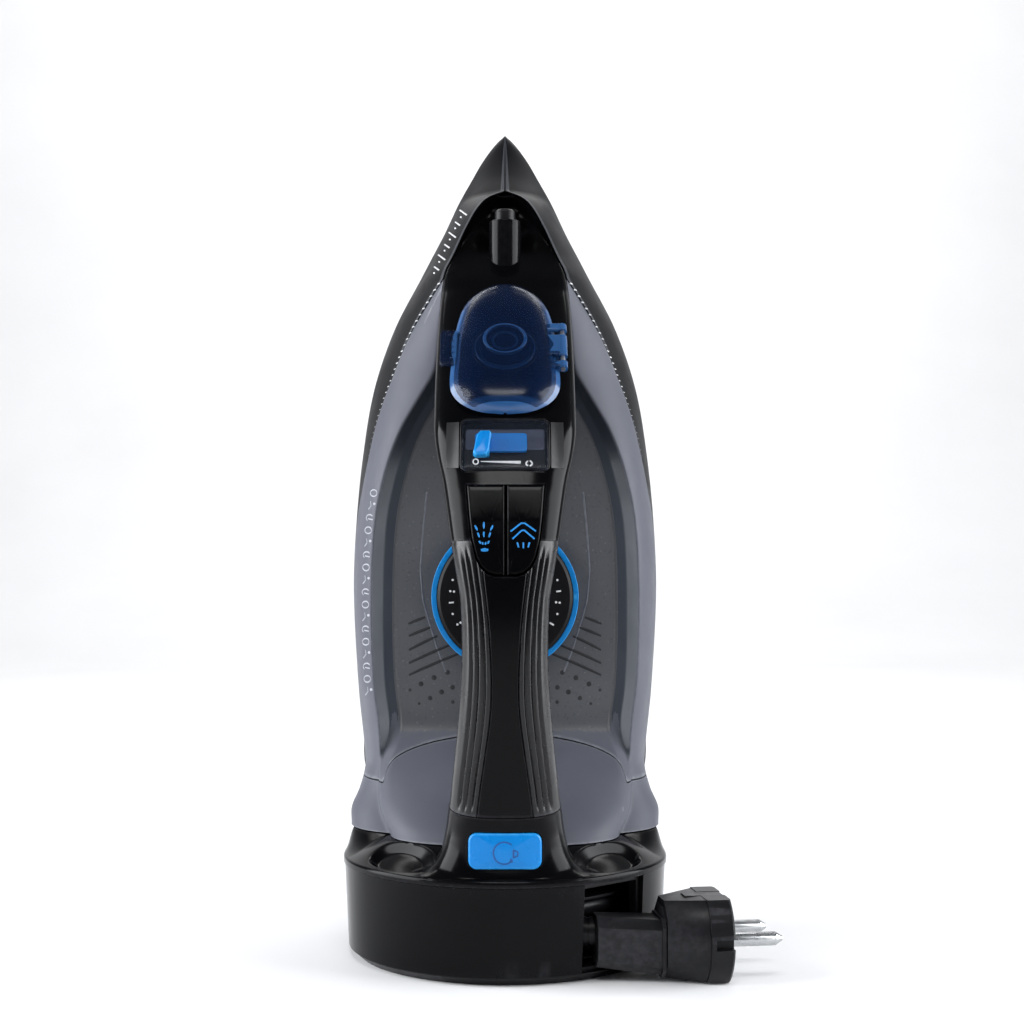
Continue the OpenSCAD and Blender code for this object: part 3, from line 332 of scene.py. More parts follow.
def flank(z, q):
    """A point of the body's side: q = 0 at the sole, 1 on the crest."""
    w, b, cx, cy = half_w(z), base_y(z), crest_x(z), crest_y(z)
    k = mix(0.65, 0.35, ease((z - 220) / 50))
    return (mix(mix(w, cx, q), cx + (w - cx) * np.cos(rad(90 * q)), k),
            mix(mix(b, cy, q), b + (cy - b) * np.sin(rad(90 * q)), k))


def section(w, ys, hf, yb, u, z):
    """The handle's and the spine's cross section: a rounded front to |u| = 0.7, then straight flanks."""
    a = np.abs(u)
    th = rad(np.minimum(a / 0.7, 1) * 90)
    k = np.maximum(a - 0.7, 0) / 0.3
    x = np.sign(u) * w * np.sin(th)**0.8
    y = np.where(a <= 0.7, ys + hf - hf * np.maximum(np.cos(th), 0)**0.8, mix(ys + hf, yb, k))
    return np.stack(np.broadcast_arrays(x, y, z), -1)


# ---- mesh helpers
def finish_mesh(name, me, mat, body, replaces=(), sharp=38, merge=True):
    bm = bmesh.new()
    bm.from_mesh(me)
    if merge:
        bmesh.ops.remove_doubles(bm, verts=bm.verts, dist=1.2e-5)
        bmesh.ops.dissolve_degenerate(bm, edges=bm.edges, dist=1e-6)
    bmesh.ops.recalc_face_normals(bm, faces=bm.faces)
    bm.to_mesh(me)
    bm.free()
    shade(me, sharp)
    for key in [mat] if isinstance(mat, str) else mat:
        me.materials.append(mats[key])
    ob = new_object(name, me)
    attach(ob, body)
    if replaces:
        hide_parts(*replaces)
    return ob


def shade(me, sharp):
    me.polygons.foreach_set("use_smooth", np.ones(len(me.polygons), bool))
    me.set_sharp_from_angle(angle=math.radians(sharp))
    me.update()


def raw_mesh(name, verts, faces):
    me = bpy.data.meshes.new(name)
    me.from_pydata((np.asarray(verts, float) * MM).tolist(), [], [tuple(int(i) for i in f) for f in faces])
    return me


def grid_faces(nr, nc, off=0, wrap_rows=False, wrap_cols=False):
    idx = np.arange(nr * nc).reshape(nr, nc) + off
    if wrap_rows:
        idx = np.vstack([idx, idx[:1]])
    if wrap_cols:
        idx = np.hstack([idx, idx[:, :1]])
    return np.stack([idx[:-1, :-1], idx[:-1, 1:], idx[1:, 1:], idx[1:, :-1]], -1).reshape(-1, 4)


def sheet(P, Q, wrap=False):
    """The closed solid between an outer grid and an inner grid."""
    nr, nc = P.shape[:2]
    n = nr * nc
    verts = np.concatenate([P.reshape(-1, 3), Q.reshape(-1, 3)])
    idx = np.arange(n).reshape(nr, nc)
    if wrap:
        idx = np.vstack([idx, idx[:1]])
    faces = [grid_faces(nr, nc, 0, wrap), grid_faces(nr, nc, n, wrap)[:, ::-1]]
    for col in (0, -1):
        a, b = idx[:-1, col], idx[1:, col]
        faces.append(np.stack([a, b, b + n, a + n], -1)[:, ::1 if col == 0 else -1])
    if not wrap:
        for row in (0, -1):
            a, b = idx[row, :-1], idx[row, 1:]
            faces.append(np.stack([a, b, b + n, a + n], -1)[:, ::-1 if row == 0 else 1])
    return verts, np.concatenate(faces)


def relax(P, times=2):
    """Softens the creases of a grid across its columns and keeps its two edges."""
    for _ in range(times):
        P[:, 1:-1] = 0.25 * P[:, :-2] + 0.5 * P[:, 1:-1] + 0.25 * P[:, 2:]
    return P


def place(matrix, pts):
    pts = np.asarray(pts, float).reshape(-1, 3)
    m = np.array(matrix)
    return pts @ m[:3, :3].T + m[:3, 3]


# (a, b, h) -> (a, -h, b): a to the right, b up, h out towards the viewer
AXES = Matrix(((1, 0, 0, 0), (0, 0, -1, 0), (0, 1, 0, 0), (0, 0, 0, 1)))


def on_spine(z, tilt):
    """A plane that lies on the sloping spine."""
    return Matrix.Translation((0, float(spine_y(z)), z)) @ Matrix.Rotation(math.radians(-tilt), 4, "X") @ AXES


def facing(y, z=0.0):
    """A plane that faces the viewer at that depth."""
    return Matrix.Translation((0, y, z)) @ AXES


def rounded(w, h, r, n=8, cx=0.0, cy=0.0):
    out = []
    for sx, sy, a0 in ((1, 1, 0), (-1, 1, 90), (-1, -1, 180), (1, -1, 270)):
        for i in range(n + 1):
            a = rad(a0 + 90 * i / n)
            out.append((cx + sx * (w / 2 - r) + r * np.cos(a), cy + sy * (h / 2 - r) + r * np.sin(a)))
    return np.array(out)


def circle(r, n=48, cx=0.0, cy=0.0):
    a = np.arange(n) / n * 2 * np.pi
    return np.stack([cx + r * np.cos(a), cy + r * np.sin(a)], -1)


def subdivide(outline, step=1.0):
    out = []
    for p, q in zip(outline, np.roll(outline, -1, 0)):
        n = max(int(np.linalg.norm(q - p) / step), 1)
        out += [p + (q - p) * i / n for i in range(n)]
    return np.array(out)


def inward(outline):
    """Inward unit normals of a closed outline, at its corners."""
    prev, nxt = np.roll(outline, 1, 0), np.roll(outline, -1, 0)
    d = unit(unit(outline - prev) + unit(nxt - outline))
    nrm = np.stack([-d[:, 1], d[:, 0]], -1)
    area = 0.5 * np.sum(outline[:, 0] * nxt[:, 1] - nxt[:, 0] * outline[:, 1])
    return nrm if area > 0 else -nrm


def pillow(outline, matrix, h0, h1, r=0.4, crown=0.0, steps=4, top=None, center=None):
    """A plate with rounded upper edges and a slightly crowned face; top(a, b) adds to its height."""
    o = np.asarray(outline, float)
    nrm = inward(o)
    c = o.mean(0) if center is None else np.array(center)
    rings = [(o, h0), (o, h1 - r)]
    for i in range(1, steps + 1):
        a = math.pi / 2 * i / steps
        rings.append((o + nrm * r * (1 - math.cos(a)), h1 - r + r * math.sin(a)))
    inner = o + nrm * r
    for f in (0.9, 0.75, 0.55, 0.3, 0.1):
        rings.append((c + (inner - c) * f, h1 + crown * (1 - f * f)))
    n = len(o)
    pts = []
    for ring, h in rings:
        lift = top(ring[:, 0], ring[:, 1]) if top is not None and h > h0 else 0.0
        pts.append(np.column_stack([ring, np.full(n, h) + lift]))
    lift = top(c[0], c[1]) if top is not None else 0.0
    verts = np.concatenate(pts + [np.array([[c[0], c[1], h1 + crown + lift]])])
    faces = grid_faces(len(rings), n, 0, False, True).tolist()
    last = (len(rings) - 1) * n
    faces += [(last + i, last + (i + 1) % n, len(verts) - 1) for i in range(n)]
    faces.append(range(n)[::-1])
    return place(matrix, verts), faces


def tube(path, r, closed=False, seg=10, flat=1.0):
    """A round bead swept along a path; r may change along it."""
    p = np.asarray(path, float)
    n = len(p)
    r = np.broadcast_to(np.asarray(r, float), (n,))
    t = unit(np.roll(p, -1, 0) - np.roll(p, 1, 0) if closed else np.gradient(p, axis=0))
    side = unit(np.cross(t, np.array([0.0, -1.0, 0.05])))
    up = np.cross(side, t)
    a = np.arange(seg) / seg * 2 * np.pi
    ring = (p[:, None] + r[:, None, None] * (np.cos(a)[None, :, None] * side[:, None]
                                             + flat * np.sin(a)[None, :, None] * up[:, None]))
    faces = grid_faces(n, seg, 0, closed, True).tolist()
    if not closed:
        faces += [range(seg)[::-1], range((n - 1) * seg, n * seg)]
    return ring.reshape(-1, 3), faces


class Batch:
    """Many small pieces gathered into one mesh."""

    def __init__(self):
        self.v, self.f, self.n = [], [], 0

    def add(self, part):
        verts, faces = part
        self.v.append(np.asarray(verts, float))
        self.f += [tuple(int(i) + self.n for i in f) for f in faces]
        self.n += len(verts)
        return self

    def build(self, name, mat, body, slot, replaces=(), sharp=38, merge=True):
        me = raw_mesh(name, np.concatenate(self.v), self.f)
        return finish_mesh(name, me, mat, body, replaces, sharp, merge)


def shell(name, P, Q, mat, replaces=(), sharp=38, slot=None, merge=True, wrap=False):
    """The sheet between two grids as a piece of the iron's own body."""
    return Batch().add(sheet(P, Q, wrap)).build(name, mat, "iron", slot or mat, replaces, sharp, merge)


def hoop(matrix, r, h, bead, n, *shape):
    """A bead around a circle, at the height h over a plane."""
    return tube(place(matrix, np.column_stack([circle(r, n), np.full(n, float(h))])), bead, True, *shape)


def cutter(outline, matrix, h0, h1):
    """A prism that cut() takes away."""
    o = np.asarray(outline, float)
    n = len(o)
    verts = np.concatenate([np.column_stack([o, np.full(n, h)]) for h in (h0, h1)])
    faces = [*grid_faces(2, n, 0, False, True).tolist(), range(n)[::-1], range(n, 2 * n)]
    me = raw_mesh("cutter", place(matrix, verts), faces)
    bm = bmesh.new()
    bm.from_mesh(me)
    bmesh.ops.recalc_face_normals(bm, faces=bm.faces)
    bm.to_mesh(me)
    bm.free()
    return new_object("cutter", me)


def cut(ob, cutters, sharp=38):
    for c in cutters:
        mod = ob.modifiers.new("cut", "BOOLEAN")
        mod.operation = "DIFFERENCE"
        mod.solver = "MANIFOLD"
        mod.object = c
    bpy.context.view_layer.update()
    dg = bpy.context.evaluated_depsgraph_get()
    me = bpy.data.meshes.new_from_object(ob.evaluated_get(dg))
    ob.modifiers.clear()
    old = ob.data
    ob.data = me
    bpy.data.meshes.remove(old)
    shade(me, sharp)
    for c in cutters:
        mesh = c.data
        bpy.data.objects.remove(c)
        bpy.data.meshes.remove(mesh)
    return ob


# ---- body shells
HEEL_K = 0.22  # the skirt's outline turns round the heel up to here


def sole_edge(k):
    a = rad(np.clip(k / HEEL_K, 0, 1) * 90)
    low = k < HEEL_K
    z = np.where(low, 74 - 27.6 * np.maximum(np.cos(a), 0)**0.55, mix(74, 318.3, (k - HEEL_K) / 0.78))
    return np.where(low, half_w(74.0) * np.sin(a)**0.55, half_w(z)), z


def skirt_pt(k, s, t):
    """The nose skirt: k runs from heel to tip, s from the sole over 0 to the crest at 1."""
    x0, z = sole_edge(k)
    q = black_q(z)
    fs = np.maximum(s, 0)
    zz = np.maximum(z, 45)
    lip = (0.55 * ease((z - 226) / 16) * ease((s - 0.915) / 0.02)
           * (1 - 0.5 * ease((s - 0.985) / 0.015)) * (t == 0))
    fx, fy = flank(zz, q * fs)
    ang = rad(90 * q * fs)
    out = 1 - 1.1 * np.maximum(-s, 0)**2
    lowx = np.maximum(x0 - (1 - out) - t, 0)
    lowy = mix(base_y(z), SOLE_Y - 5.5, -s)
    lowz = z + np.where(k < HEEL_K, t * np.cos(rad(np.clip(k / HEEL_K, 0, 1) * 90)), 0)
    d = lip - t
    upx = np.maximum(fx + d * np.cos(ang), 0)
    upx = np.where((z > 290.4) & (s > 0.999), 0, upx)
    upy = fy - d * np.sin(ang)
    low = s <= 0
    return np.stack(np.broadcast_arrays(*(np.where(low, *pair) for pair in
                                          ((lowx, upx), (lowy, upy), (lowz, z)))), -1)


ks = np.concatenate([np.linspace(0, HEEL_K, 40)[:-1], HEEL_K + (1 - (1 - np.linspace(0, 1, 150))**1.25) * 0.78])
ss = runs((-1, 0, 9), (0, 0.9, 34), (0.9, 1, 14))
K, S = np.meshgrid(ks, ss, indexing="ij")
skirt = Batch()
for side in (1, -1):
    P, Q = (skirt_pt(K, S, t) * (side, 1, 1) for t in (0.0, WALL))
    skirt.add(sheet(P, Q))
skirt.build("nose_skirt_shell", "skirt", "iron", "black_gloss", ["nose_skirt"], 50)
# a thin paler band along the arch ridge of the nose skirt: a painted highlight
K, S = np.meshgrid(ks[sole_edge(ks)[1] > 226], np.linspace(0.925, 0.985, 8), indexing="ij")
ridge = Batch()
for side in (1, -1):
    P = skirt_pt(K, S, 0.0) * (side, 1, 1)
    ridge.add(sheet(P + (0, -0.12, 0), P + (0, 0.3, 0)))
ridge.build("nose_ridge_highlight_band", "ridge", "iron", "black_gloss")


def body_pt(z, u, t):
    """The body's skin: its flank outside |u| = 0.6, and its crest and stepped field inside."""
    a = np.abs(u)
    q = np.where(a > 0.6, mix(1, black_q(z), (a - 0.6) / 0.4), 1)
    fx, fy = flank(z, q)
    cx, cy, ty = crest_x(z), crest_y(z), top_y(z)
    r = a / 0.6
    g = ease((z - 64) / 20)
    low = (67 - z) / 22
    side = (a > 0.6) & (z < 67)
    push = np.where(side, low * 7.5 * np.sin(rad(180 * q)) - low * 7 * (1 - q)**3, 0)
    s1, s2, s3 = (r - 0.86) / 0.14, (r - 0.72) / 0.14, (r - 0.68) / 0.04
    steps = [r > 0.86, r > 0.72, r > 0.68]
    gx = np.select(steps, [mix(cx - 4.2, cx, s1), mix(cx - 8.4, cx - 4.2, s2), mix(cx - 9, cx - 8.4, s3)],
                   (cx - 9) * r / 0.68)
    gy = np.select(steps, [mix(cy + 3.8, cy, s1), mix(ty + 0.6, cy + 3.8, s2), mix(ty, ty + 0.6, s3)], ty)
    th = rad(90 * np.clip(r, 0, 1))
    rx = cx * np.sin(th)**0.85
    ry = cy + (ty - cy) * np.maximum(np.cos(th), 0)**0.85
    ang = rad(90 * q)
    top = a > 0.6
    x = np.where(top, fx + push, mix(rx, gx, g))
    y = np.where(top, fy, mix(ry, gy, g))
    nx, ny = np.where(top, -np.cos(ang), 0), np.where(top, np.sin(ang), 1)
    return np.stack(np.broadcast_arrays(np.sign(u) * np.maximum(x + t * nx, 0), y + t * ny, z), -1)


def saddle_z(u):
    r = np.minimum(np.abs(u) / 0.47, 1)
    return 62 + 17 * np.sqrt(np.maximum(1 - r * r, 0))


half_u = runs((0, 0.40, 26), (0.40, 0.445, 10), (0.445, 0.60, 26), (0.60, 1.0, 40))
US = np.concatenate([-half_u[::-1], half_u[1:]])


def body_grid(count, above, t):
    """The body's skin above or below the seam between the tank and the saddle."""
    V, U = np.meshgrid(np.linspace(0, 1, count), US, indexing="ij")
    seam = saddle_z(U)
    Z = mix(seam + SEAM, 252, V) if above else mix(44.9, seam - SEAM, V)
    return relax(body_pt(Z, U, t), 3)


tank = shell("water_tank_shell", body_grid(150, True, 0.0), body_grid(150, True, WALL),
             ["tank_grey", "panel", "groove"], ["water_tank"], 60, "tank_grey")
shell("rear_saddle_shell", body_grid(60, False, 0.0), body_grid(60, False, WALL), "tank_grey",
      ["rear_saddle"], 60)
# the flat field takes the speckled panel; on the band inside the crest, faces turned towards the middle take
# painted shade
for p in tank.data.polygons:
    c = p.center / MM
    inner_x = float(crest_x(c.z)) - abs(c.x)
    if c.y > 11.0 and inner_x > 7.8 and c.z > 79 and p.normal.y < -0.5:
        p.material_index = 1
    elif 0.5 < inner_x < 8.6 and c.z > 70 and p.normal.x * c.x < -0.1 * abs(c.x) and p.normal.y < 0.2:
        p.material_index = 2

# ---- heel cover with its neck
rim_x, rim_y, _ = body_pt(np.full(51, 45.2), np.linspace(0, 1, 51), 0.0).T
rim_a = np.degrees(np.arctan2(rim_y, rim_x))
order = np.argsort(rim_a)
rim_a, rim_r = rim_a[order], np.hypot(rim_x, rim_y)[order]


def saddle_rad(x, y):
    """The radius at which the cover meets the saddle's foot."""
    return np.minimum(57.4, np.interp(np.degrees(np.arctan2(y, np.abs(x))), rim_a, rim_r) - 0.2)


def dish(x, y):
    """The hollows on both sides of the neck."""
    d = np.hypot((x + y) * 0.7071 / 15.5, ((x - y) * 0.7071 - 52) / 6.6)
    return 3.2 * ease((1.05 - d) / 0.4)


def cover_z(r, x, y):
    t = np.maximum(60.2 - r, 0) / np.maximum(60.2 - saddle_rad(x, y), 1)
    return mix(36.3, 44.6, mix(ease(t), np.minimum(t, 1)**0.8, 0.45)) - dish(np.abs(x), y)


turn = circle(1.0, 360)
RIM = ((60.3, 34.05), (60.3, 34.6), (60.3, 35.75), (60.22, 36.0), (60.05, 36.2))
rows = [np.column_stack([turn * r, np.full(360, z)]) for r, z in RIM]
for r in [*np.linspace(59.9, 46, 64), *np.linspace(45.5, 40, 8)]:
    rows.append(np.column_stack([turn * r, cover_z(r, *(turn * r).T)]))
P = np.stack(rows, 1)
Q = P.copy()
Q[:, :, 2] = np.maximum(Q[:, :, 2] - 1.8, DRUM_TOP + 0.3)
Q[:, :5, 0] *= 0.965
Q[:, :5, 1] *= 0.965
heel = shell("heel_cover_shell", P, Q, "black_gloss", ["heel_cover"], 45, wrap=True)
# room inside the neck for the rewind button's travel
cut(heel, [cutter(rounded(27.4, 14.4, 1.0), facing(0, 46.0), 44.5, 53.4)])
NZ, NU = np.meshgrid(runs((35.6, 41, 26), (41, 60.15, 40)), np.linspace(-1, 1, 141), indexing="ij")


def end_dip(u, z):
    """The handle parts' lower ends hang in an arc across the front."""
    return 2.84 * (1 - np.minimum(np.abs(u) / 0.7, 1)**2) * ease((z - 46) / 14)


def neck_grid(t):
    w, ys = neck_w(NZ) - t, neck_y(NZ) + t
    return section(w, ys, 15, -38, NU, NZ - end_dip(NU, NZ))


BUTTON_Z = 46.3
neck = shell("heel_neck_shell", neck_grid(0.0), neck_grid(WALL), "black_gloss", (), 45)
cut(neck, [cutter(rounded(25.7, 13, 3.4, 10), facing(-50, BUTTON_Z), 0, 20)], 45)


# ---- spine cover
def spine_back(z):
    """Where the cover's flanks end, and how far its rounded front reaches back."""
    yb = np.where(z > 214, crest_y(z) - SEAM, mix(12.2, crest_y(z) - SEAM, ease((z - 204) / 10)))
    drop = yb - spine_y(z)
    return yb, np.where(drop > 0, np.minimum(drop, 11), np.maximum(drop, -14))


def spine_grid(t):
    z, u = np.meshgrid(runs((151.9, 250, 150), (250, 289, 70)), np.linspace(-1, 1, 161), indexing="ij")
    cv = ease((z - 250) / 12)
    yb, hf = spine_back(z)
    return section(spine_w(z) - t * (1 - cv) * 0.9, spine_y(z) + t, hf, yb + t * cv, u, z)


def gap_outline(d):
    """The hand's opening seen from the side, from its front edge moved by d to far behind the iron."""
    zs = np.concatenate([np.linspace(47, 150, 30), np.linspace(152, 180.6, 40)])
    pts = np.concatenate([np.stack([gap_y(zs), zs], -1), [[12.4, 181.0]]])
    return np.concatenate([pts + d * normals(pts), [[30, 181 + d], [30, 47], [-39.4 - d, 47]]])


ALONG_X = Matrix(((0, 0, 1, 0), (1, 0, 0, 0), (0, 1, 0, 0), (0, 0, 0, 1)))
SHIELD = np.array([[-13.5, 171], [13.9, 171], [13, 160], [12.1, 152], [10.7, 146], [9, 142.6], [6.6, 140.5],
                   [4, 139.7], [-3.4, 139.7], [-6, 140.5], [-8.4, 142.6], [-10.1, 146], [-11.5, 152],
                   [-12.5, 160]])[::-1]
spine = shell("spine_cover_shell", relax(spine_grid(0.0)), spine_grid(WALL), "black_gloss", ["spine_cover"],
              45, merge=False)
FILL, WIN = on_spine(221, 39), on_spine(185, 30)
cut(spine, [
    cutter(gap_outline(WALL + SEAM), ALONG_X, -40, 40),
    cutter(SHIELD, facing(0), 44, 80),
    cutter(rounded(30, 20.4, 2.2), WIN, -12, 12),
    cutter(circle(11.2, 64), FILL, -8, 8),
    cutter(circle(6.25, 48, 0, 15), Matrix.Identity(4), 250, 290),
], 45)


# ---- handle
def under_dip(z):
    return 4.6 * (1 - ease((z - 140) / 12))


def grip_back(z):
    return -40.7 - 0.86 * under_dip(z)


def end_z(z, u):
    return z - 3.2 * (1 - np.minimum(np.abs(u) / 0.7, 1)**2) * ease((70 - z) / 12)


def u_of_x(z, x):
    return 0.7 * np.degrees(np.arcsin(np.clip(x / handle_w(z), 0, 1)**1.25)) / 90


grip_z = np.linspace(60.5, 151.85, 130)[:, None]
FLUTES = (0.22, 0.45, 0.66)


def grip_grid(side, t):
    z = grip_z
    lo = u_of_x(z, band_x(z) + 0.16)
    v = np.linspace(0, 1, 150)[None, :]
    u = mix(lo, 1.0, v**1.15)
    w, ys = handle_w(z), handle_y(z)
    P = section(w - t, ys + t, 13, grip_back(z), u * side, end_z(z, u))
    if t == 0:
        x = w * np.sin(rad(np.minimum(u / 0.7, 1) * 90))**0.8
        nx = np.where(u < 0.7, (x / w)**1.6, 1.0)
        ny = -np.sqrt(np.maximum(1 - nx**2, 0))
        d = np.zeros_like(x)
        for f in FLUTES:
            q = np.abs(x - band_x(z) - f * (w - band_x(z))) / 0.85
            d = np.maximum(d, np.maximum(1 - q, 0)**1.3 * 0.75 * np.where(u < 0.7, 1, 0))
        d = d * ease((z - 61) / 3) * ease((151 - z) / 8)
        d = d + 0.45 * np.maximum(1 - np.abs(u - lo) * 60, 0)**2
        P[..., 0] -= side * nx * d
        P[..., 1] -= ny * d
    return P


def band_grid(t):
    v = np.linspace(-1, 1, 61)[None, :]
    u = u_of_x(grip_z, band_x(grip_z) - 0.16) * v
    P = section(handle_w(grip_z) - t, handle_y(grip_z) + t, 13, grip_back(grip_z), u, end_z(grip_z, u))
    if t == 0:
        P[..., 1] += 0.4 * np.maximum(1 - (1 - np.abs(v)) * 14, 0)**2
    return P


for side, name in ((-1, "grip_left"), (1, "grip_right")):
    grip = shell(name + "_shell", grip_grid(side, 0.0), grip_grid(side, WALL), "grip_black", [name], 50)
    cut(grip, [cutter(SHIELD, facing(0), 50, 80)], 50)
band = shell("handle_top_shell", band_grid(0.0), band_grid(WALL), "black_gloss", ["handle_top"], 50)
cut(band, [cutter(SHIELD, facing(0), 50, 80)], 50)


def under_grid(t):
    zs = runs((47, 62, 22), (62, 150, 60), (150, 180.6, 40))
    pts = np.concatenate([np.stack([gap_y(zs), zs], -1), [[2, 180.8], [12.4, 181]]])
    nrm = normals(pts)
    z = pts[:, 1]
    w = np.where(z < 60, neck_w(z) - 2.6, np.where(z < 152, handle_w(z), spine_w(z)) - 0.3)
    u = np.linspace(-1, 1, 81)[None, :]
    d = t + under_dip(z)[:, None] * (1 - np.sqrt(np.maximum(1 - 0.98 * u * u, 0)))
    x = (w[:, None] - 0.9 * t) * np.sin(rad(u * 90))
    return np.stack([x, pts[:, None, 0] + d * nrm[:, None, 0], pts[:, None, 1] + d * nrm[:, None, 1]], -1)


shell("handle_under_shell", under_grid(0.0), under_grid(WALL), "black_satin", ["handle_under"], 50)


# ---- filler cap
def cap_height(z):
    n = np.abs(z / 33)
    return 0.8 + 5.8 * np.maximum(1 - n**np.where(z < 0, 6, 2.4), 0)**0.6


def cap_grid(t):
    z = 33 * np.sin(rad(np.linspace(-90, 90, 91)))[:, None]
    u = np.sin(rad(np.linspace(-90, 90, 73)))[None, :]
    w = np.maximum(cap_w(z) - t * 0.8, 0.35)
    y = -0.7 - np.maximum(cap_height(z) - t, 0) * (1 - np.abs(u)**3.2) - t * 0.15
    return np.stack(np.broadcast_arrays(w * u, z * (1 - t * 0.02), -y), -1)


cap = Batch()
verts, faces = sheet(cap_grid(0.0), cap_grid(1.7))
cap.add((place(FILL, verts), faces))
HINGE_A, HINGE_H = 20.6, 2.2
for b, length in ((-12, 3), (-6.1, 10.2), (6.8, 3.2)):
    knuckle = Matrix.Translation((HINGE_A, b, HINGE_H)) @ Matrix.Rotation(math.radians(-90), 4, "X")
    cap.add(pillow(circle(1.7, 28), FILL @ knuckle, 0, length, 0.35))
    cap.add(pillow(rounded(5.6, length, 0.5, 4, 17.6, b + length / 2), FILL, 2.1, 3.7, 0.4))
cap.add(pillow(rounded(6.6, 17, 1.4, 8, -19.9, -1.5), FILL, 1.4, 2.9, 0.5))
for i in range(5):
    cap.add(pillow(rounded(4.2, 0.8, 0.35, 4, -20.2, -7.5 + 3 * i), FILL, 2.8, 3.25, 0.2))
dome = cap.build("filler_cap_dome", ["clear_blue", "clear_edge_highlight", "clear_dim_highlight"], "cap", "clear_blue",
                 ["filler_cap"], 40)
to_cap = FILL.inverted()
# painted highlight: the dome's side edges, bottom bevel and hinge knuckles take the bright edge material, a
# band just inside them a fainter painted highlight
for p in dome.data.polygons:
    a, b, h = (to_cap @ (p.center / MM))[:]
    side = abs(a) / max(float(cap_w(b)), 1)
    if (a > 18.2 and side > 1.0) or b < -30.8 or (0.93 < side < 1.02 and b < 19):
        p.material_index = 1
    elif b < -28.4 or (0.84 < side < 1.02 and b < 24):
        p.material_index = 2
ribs = Batch().add(hoop(FILL, 7.3, 5.2, 0.7, 63)).add(hoop(FILL, 4.4, 4.4, 0.5, 47))
ribs.build("cap_plug_ribs", "inner_blue", "cap", "clear_blue")
rings = Batch().add(hoop(FILL, 10.2, 1.0, 0.75, 72, 8, 0.5)).add(hoop(FILL, 9.0, 0.5, 0.3, 72, 8, 0.5))
rings.build("filler_hole_rings", "inner_blue", "iron", "clear_blue")
spokes = Batch().add(hoop(FILL, 6.0, 3.2, 0.4, 72, 8, 0.5))
for a in rad([45, 135, 225, 315]):
    path = [(r * np.cos(a), r * np.sin(a), 1.1) for r in np.linspace(2.2, 6.4, 8)]
    spokes.add(tube(place(FILL, path), 0.3))
spokes.build("cap_plug_spokes", "inner_blue", "cap", "clear_blue")

# beads lie along the filler well and the window's opening, where the cover's wall turns in
Batch().add(hoop(FILL, 11.35, -0.1, 0.45, 79)).build("filler_well_lip", "black_gloss", "iron", "black_gloss")


def spine_at(x, z):
    """Depth of the spine's front surface at x, z."""
    th = np.arcsin(np.clip(np.abs(x) / spine_w(z), 0, 1)**1.25)
    hf = spine_back(z)[1]
    return spine_y(z) + hf - hf * np.cos(th)**0.8


def on_cover(a, b, lift=0.0):
    """Points of the window's frame (a right, b up the slope) dropped onto the cover."""
    pts = place(WIN, np.column_stack([a, b, np.zeros(len(a))]))
    pts[:, 1] = spine_at(pts[:, 0], pts[:, 2]) - lift
    return pts


edge = subdivide(rounded(30.2, 20.6, 2.2, 8), 0.8)
bead = Batch().add(tube(on_cover(edge[:, 0], edge[:, 1], -0.05), 0.5, True, 10))
bead.build("window_frame_bead", "black_gloss", "iron", "black_gloss")


# ---- steam window, slider
def plate(name, outline, h0, h1, r, crown, *build):
    """One flat piece of the window."""
    Batch().add(pillow(outline, WIN, h0, h1, r, crown)).build(name, *build)


plate("steam_window_lens", rounded(29.6, 20.0, 1.6, 8), -1.6, 0.35, 0.45, 0.25,
      "smoked", "iron", "smoked", ["steam_window"])
plate("steam_window_bed", rounded(27.6, 18.2, 1.2, 6), -4.2, -3.96, 0.1, 0.0,
      "black_satin", "iron", "black_satin")
plate("steam_window_haze", rounded(27.4, 8.6, 1.0, 6, 0, 4.6), -3.94, -3.76, 0.08, 0.0,
      "haze", "iron", "smoked")
bow = 0.45 * np.sin(np.linspace(0, np.pi, 12))[:, None]
for s, name in ((-1, "left"), (1, "right")):
    ga, gb = np.meshgrid(s * np.linspace(15.9, 20.3, 12), np.linspace(-9.4, 9.4, 26), indexing="ij")
    face, back = (on_cover(ga.ravel(), gb.ravel(), lift).reshape(12, 26, 3) for lift in (0.45, -0.5))
    face[:, :, 1] += bow
    shell("window_shoulder_" + name, face, back, "shoulder", (), 40, "black_satin")
knob = np.array([[-10.9, -4.0], [-9.6, 3.3], [-8.4, 4.9], [-5.3, 4.9], [-4.7, 4.0], [-5.6, -3.4],
                 [-6.5, -4.7], [-10.1, -4.9]])
slide = Batch().add(pillow(subdivide(knob, 0.5)[::-1], WIN, -1.0, 1.75, 0.7, 0.35))
slide.add(pillow(rounded(4.6, 7.4, 1.0, 6, -7.6, 0.6), WIN, -3.6, 0.2, 0.3))
slide.build("steam_slider_knob", "blue", "slider", "blue", ["steam_slider"])
plate("steam_slider_plate", rounded(18, 7.6, 1.2, 6, -1.4, 2.4), -3.0, -2.0, 0.3, 0.0,
      "blue_plate", "slider", "blue")


# ---- keys and rewind button
KEYS_X = 0.26  # the gap between the two keys


def shield_half(s):
    """The outline of one key: the shield, drawn in a little and cut along the gap."""
    o = (SHIELD - (KEYS_X, 155.5)) * (0.955, 0.975) + (KEYS_X, 155.5)
    bm = bmesh.new()
    face = bm.faces.new([bm.verts.new((x, z, 0)) for x, z in o])
    bmesh.ops.bisect_plane(bm, geom=list(bm.verts) + list(bm.edges) + [face],
                           plane_co=(KEYS_X + s * 0.42, 0, 0), plane_no=(s, 0, 0), clear_inner=True)
    bm.faces.ensure_lookup_table()
    loop = [(v.co.x, v.co.y) for v in bm.faces[0].verts]
    bm.free()
    o = subdivide(np.array(loop), 0.6)
    area = np.sum(o[:, 0] * np.roll(o[:, 1], -1) - np.roll(o[:, 0], -1) * o[:, 1])
    return o if area > 0 else o[::-1]


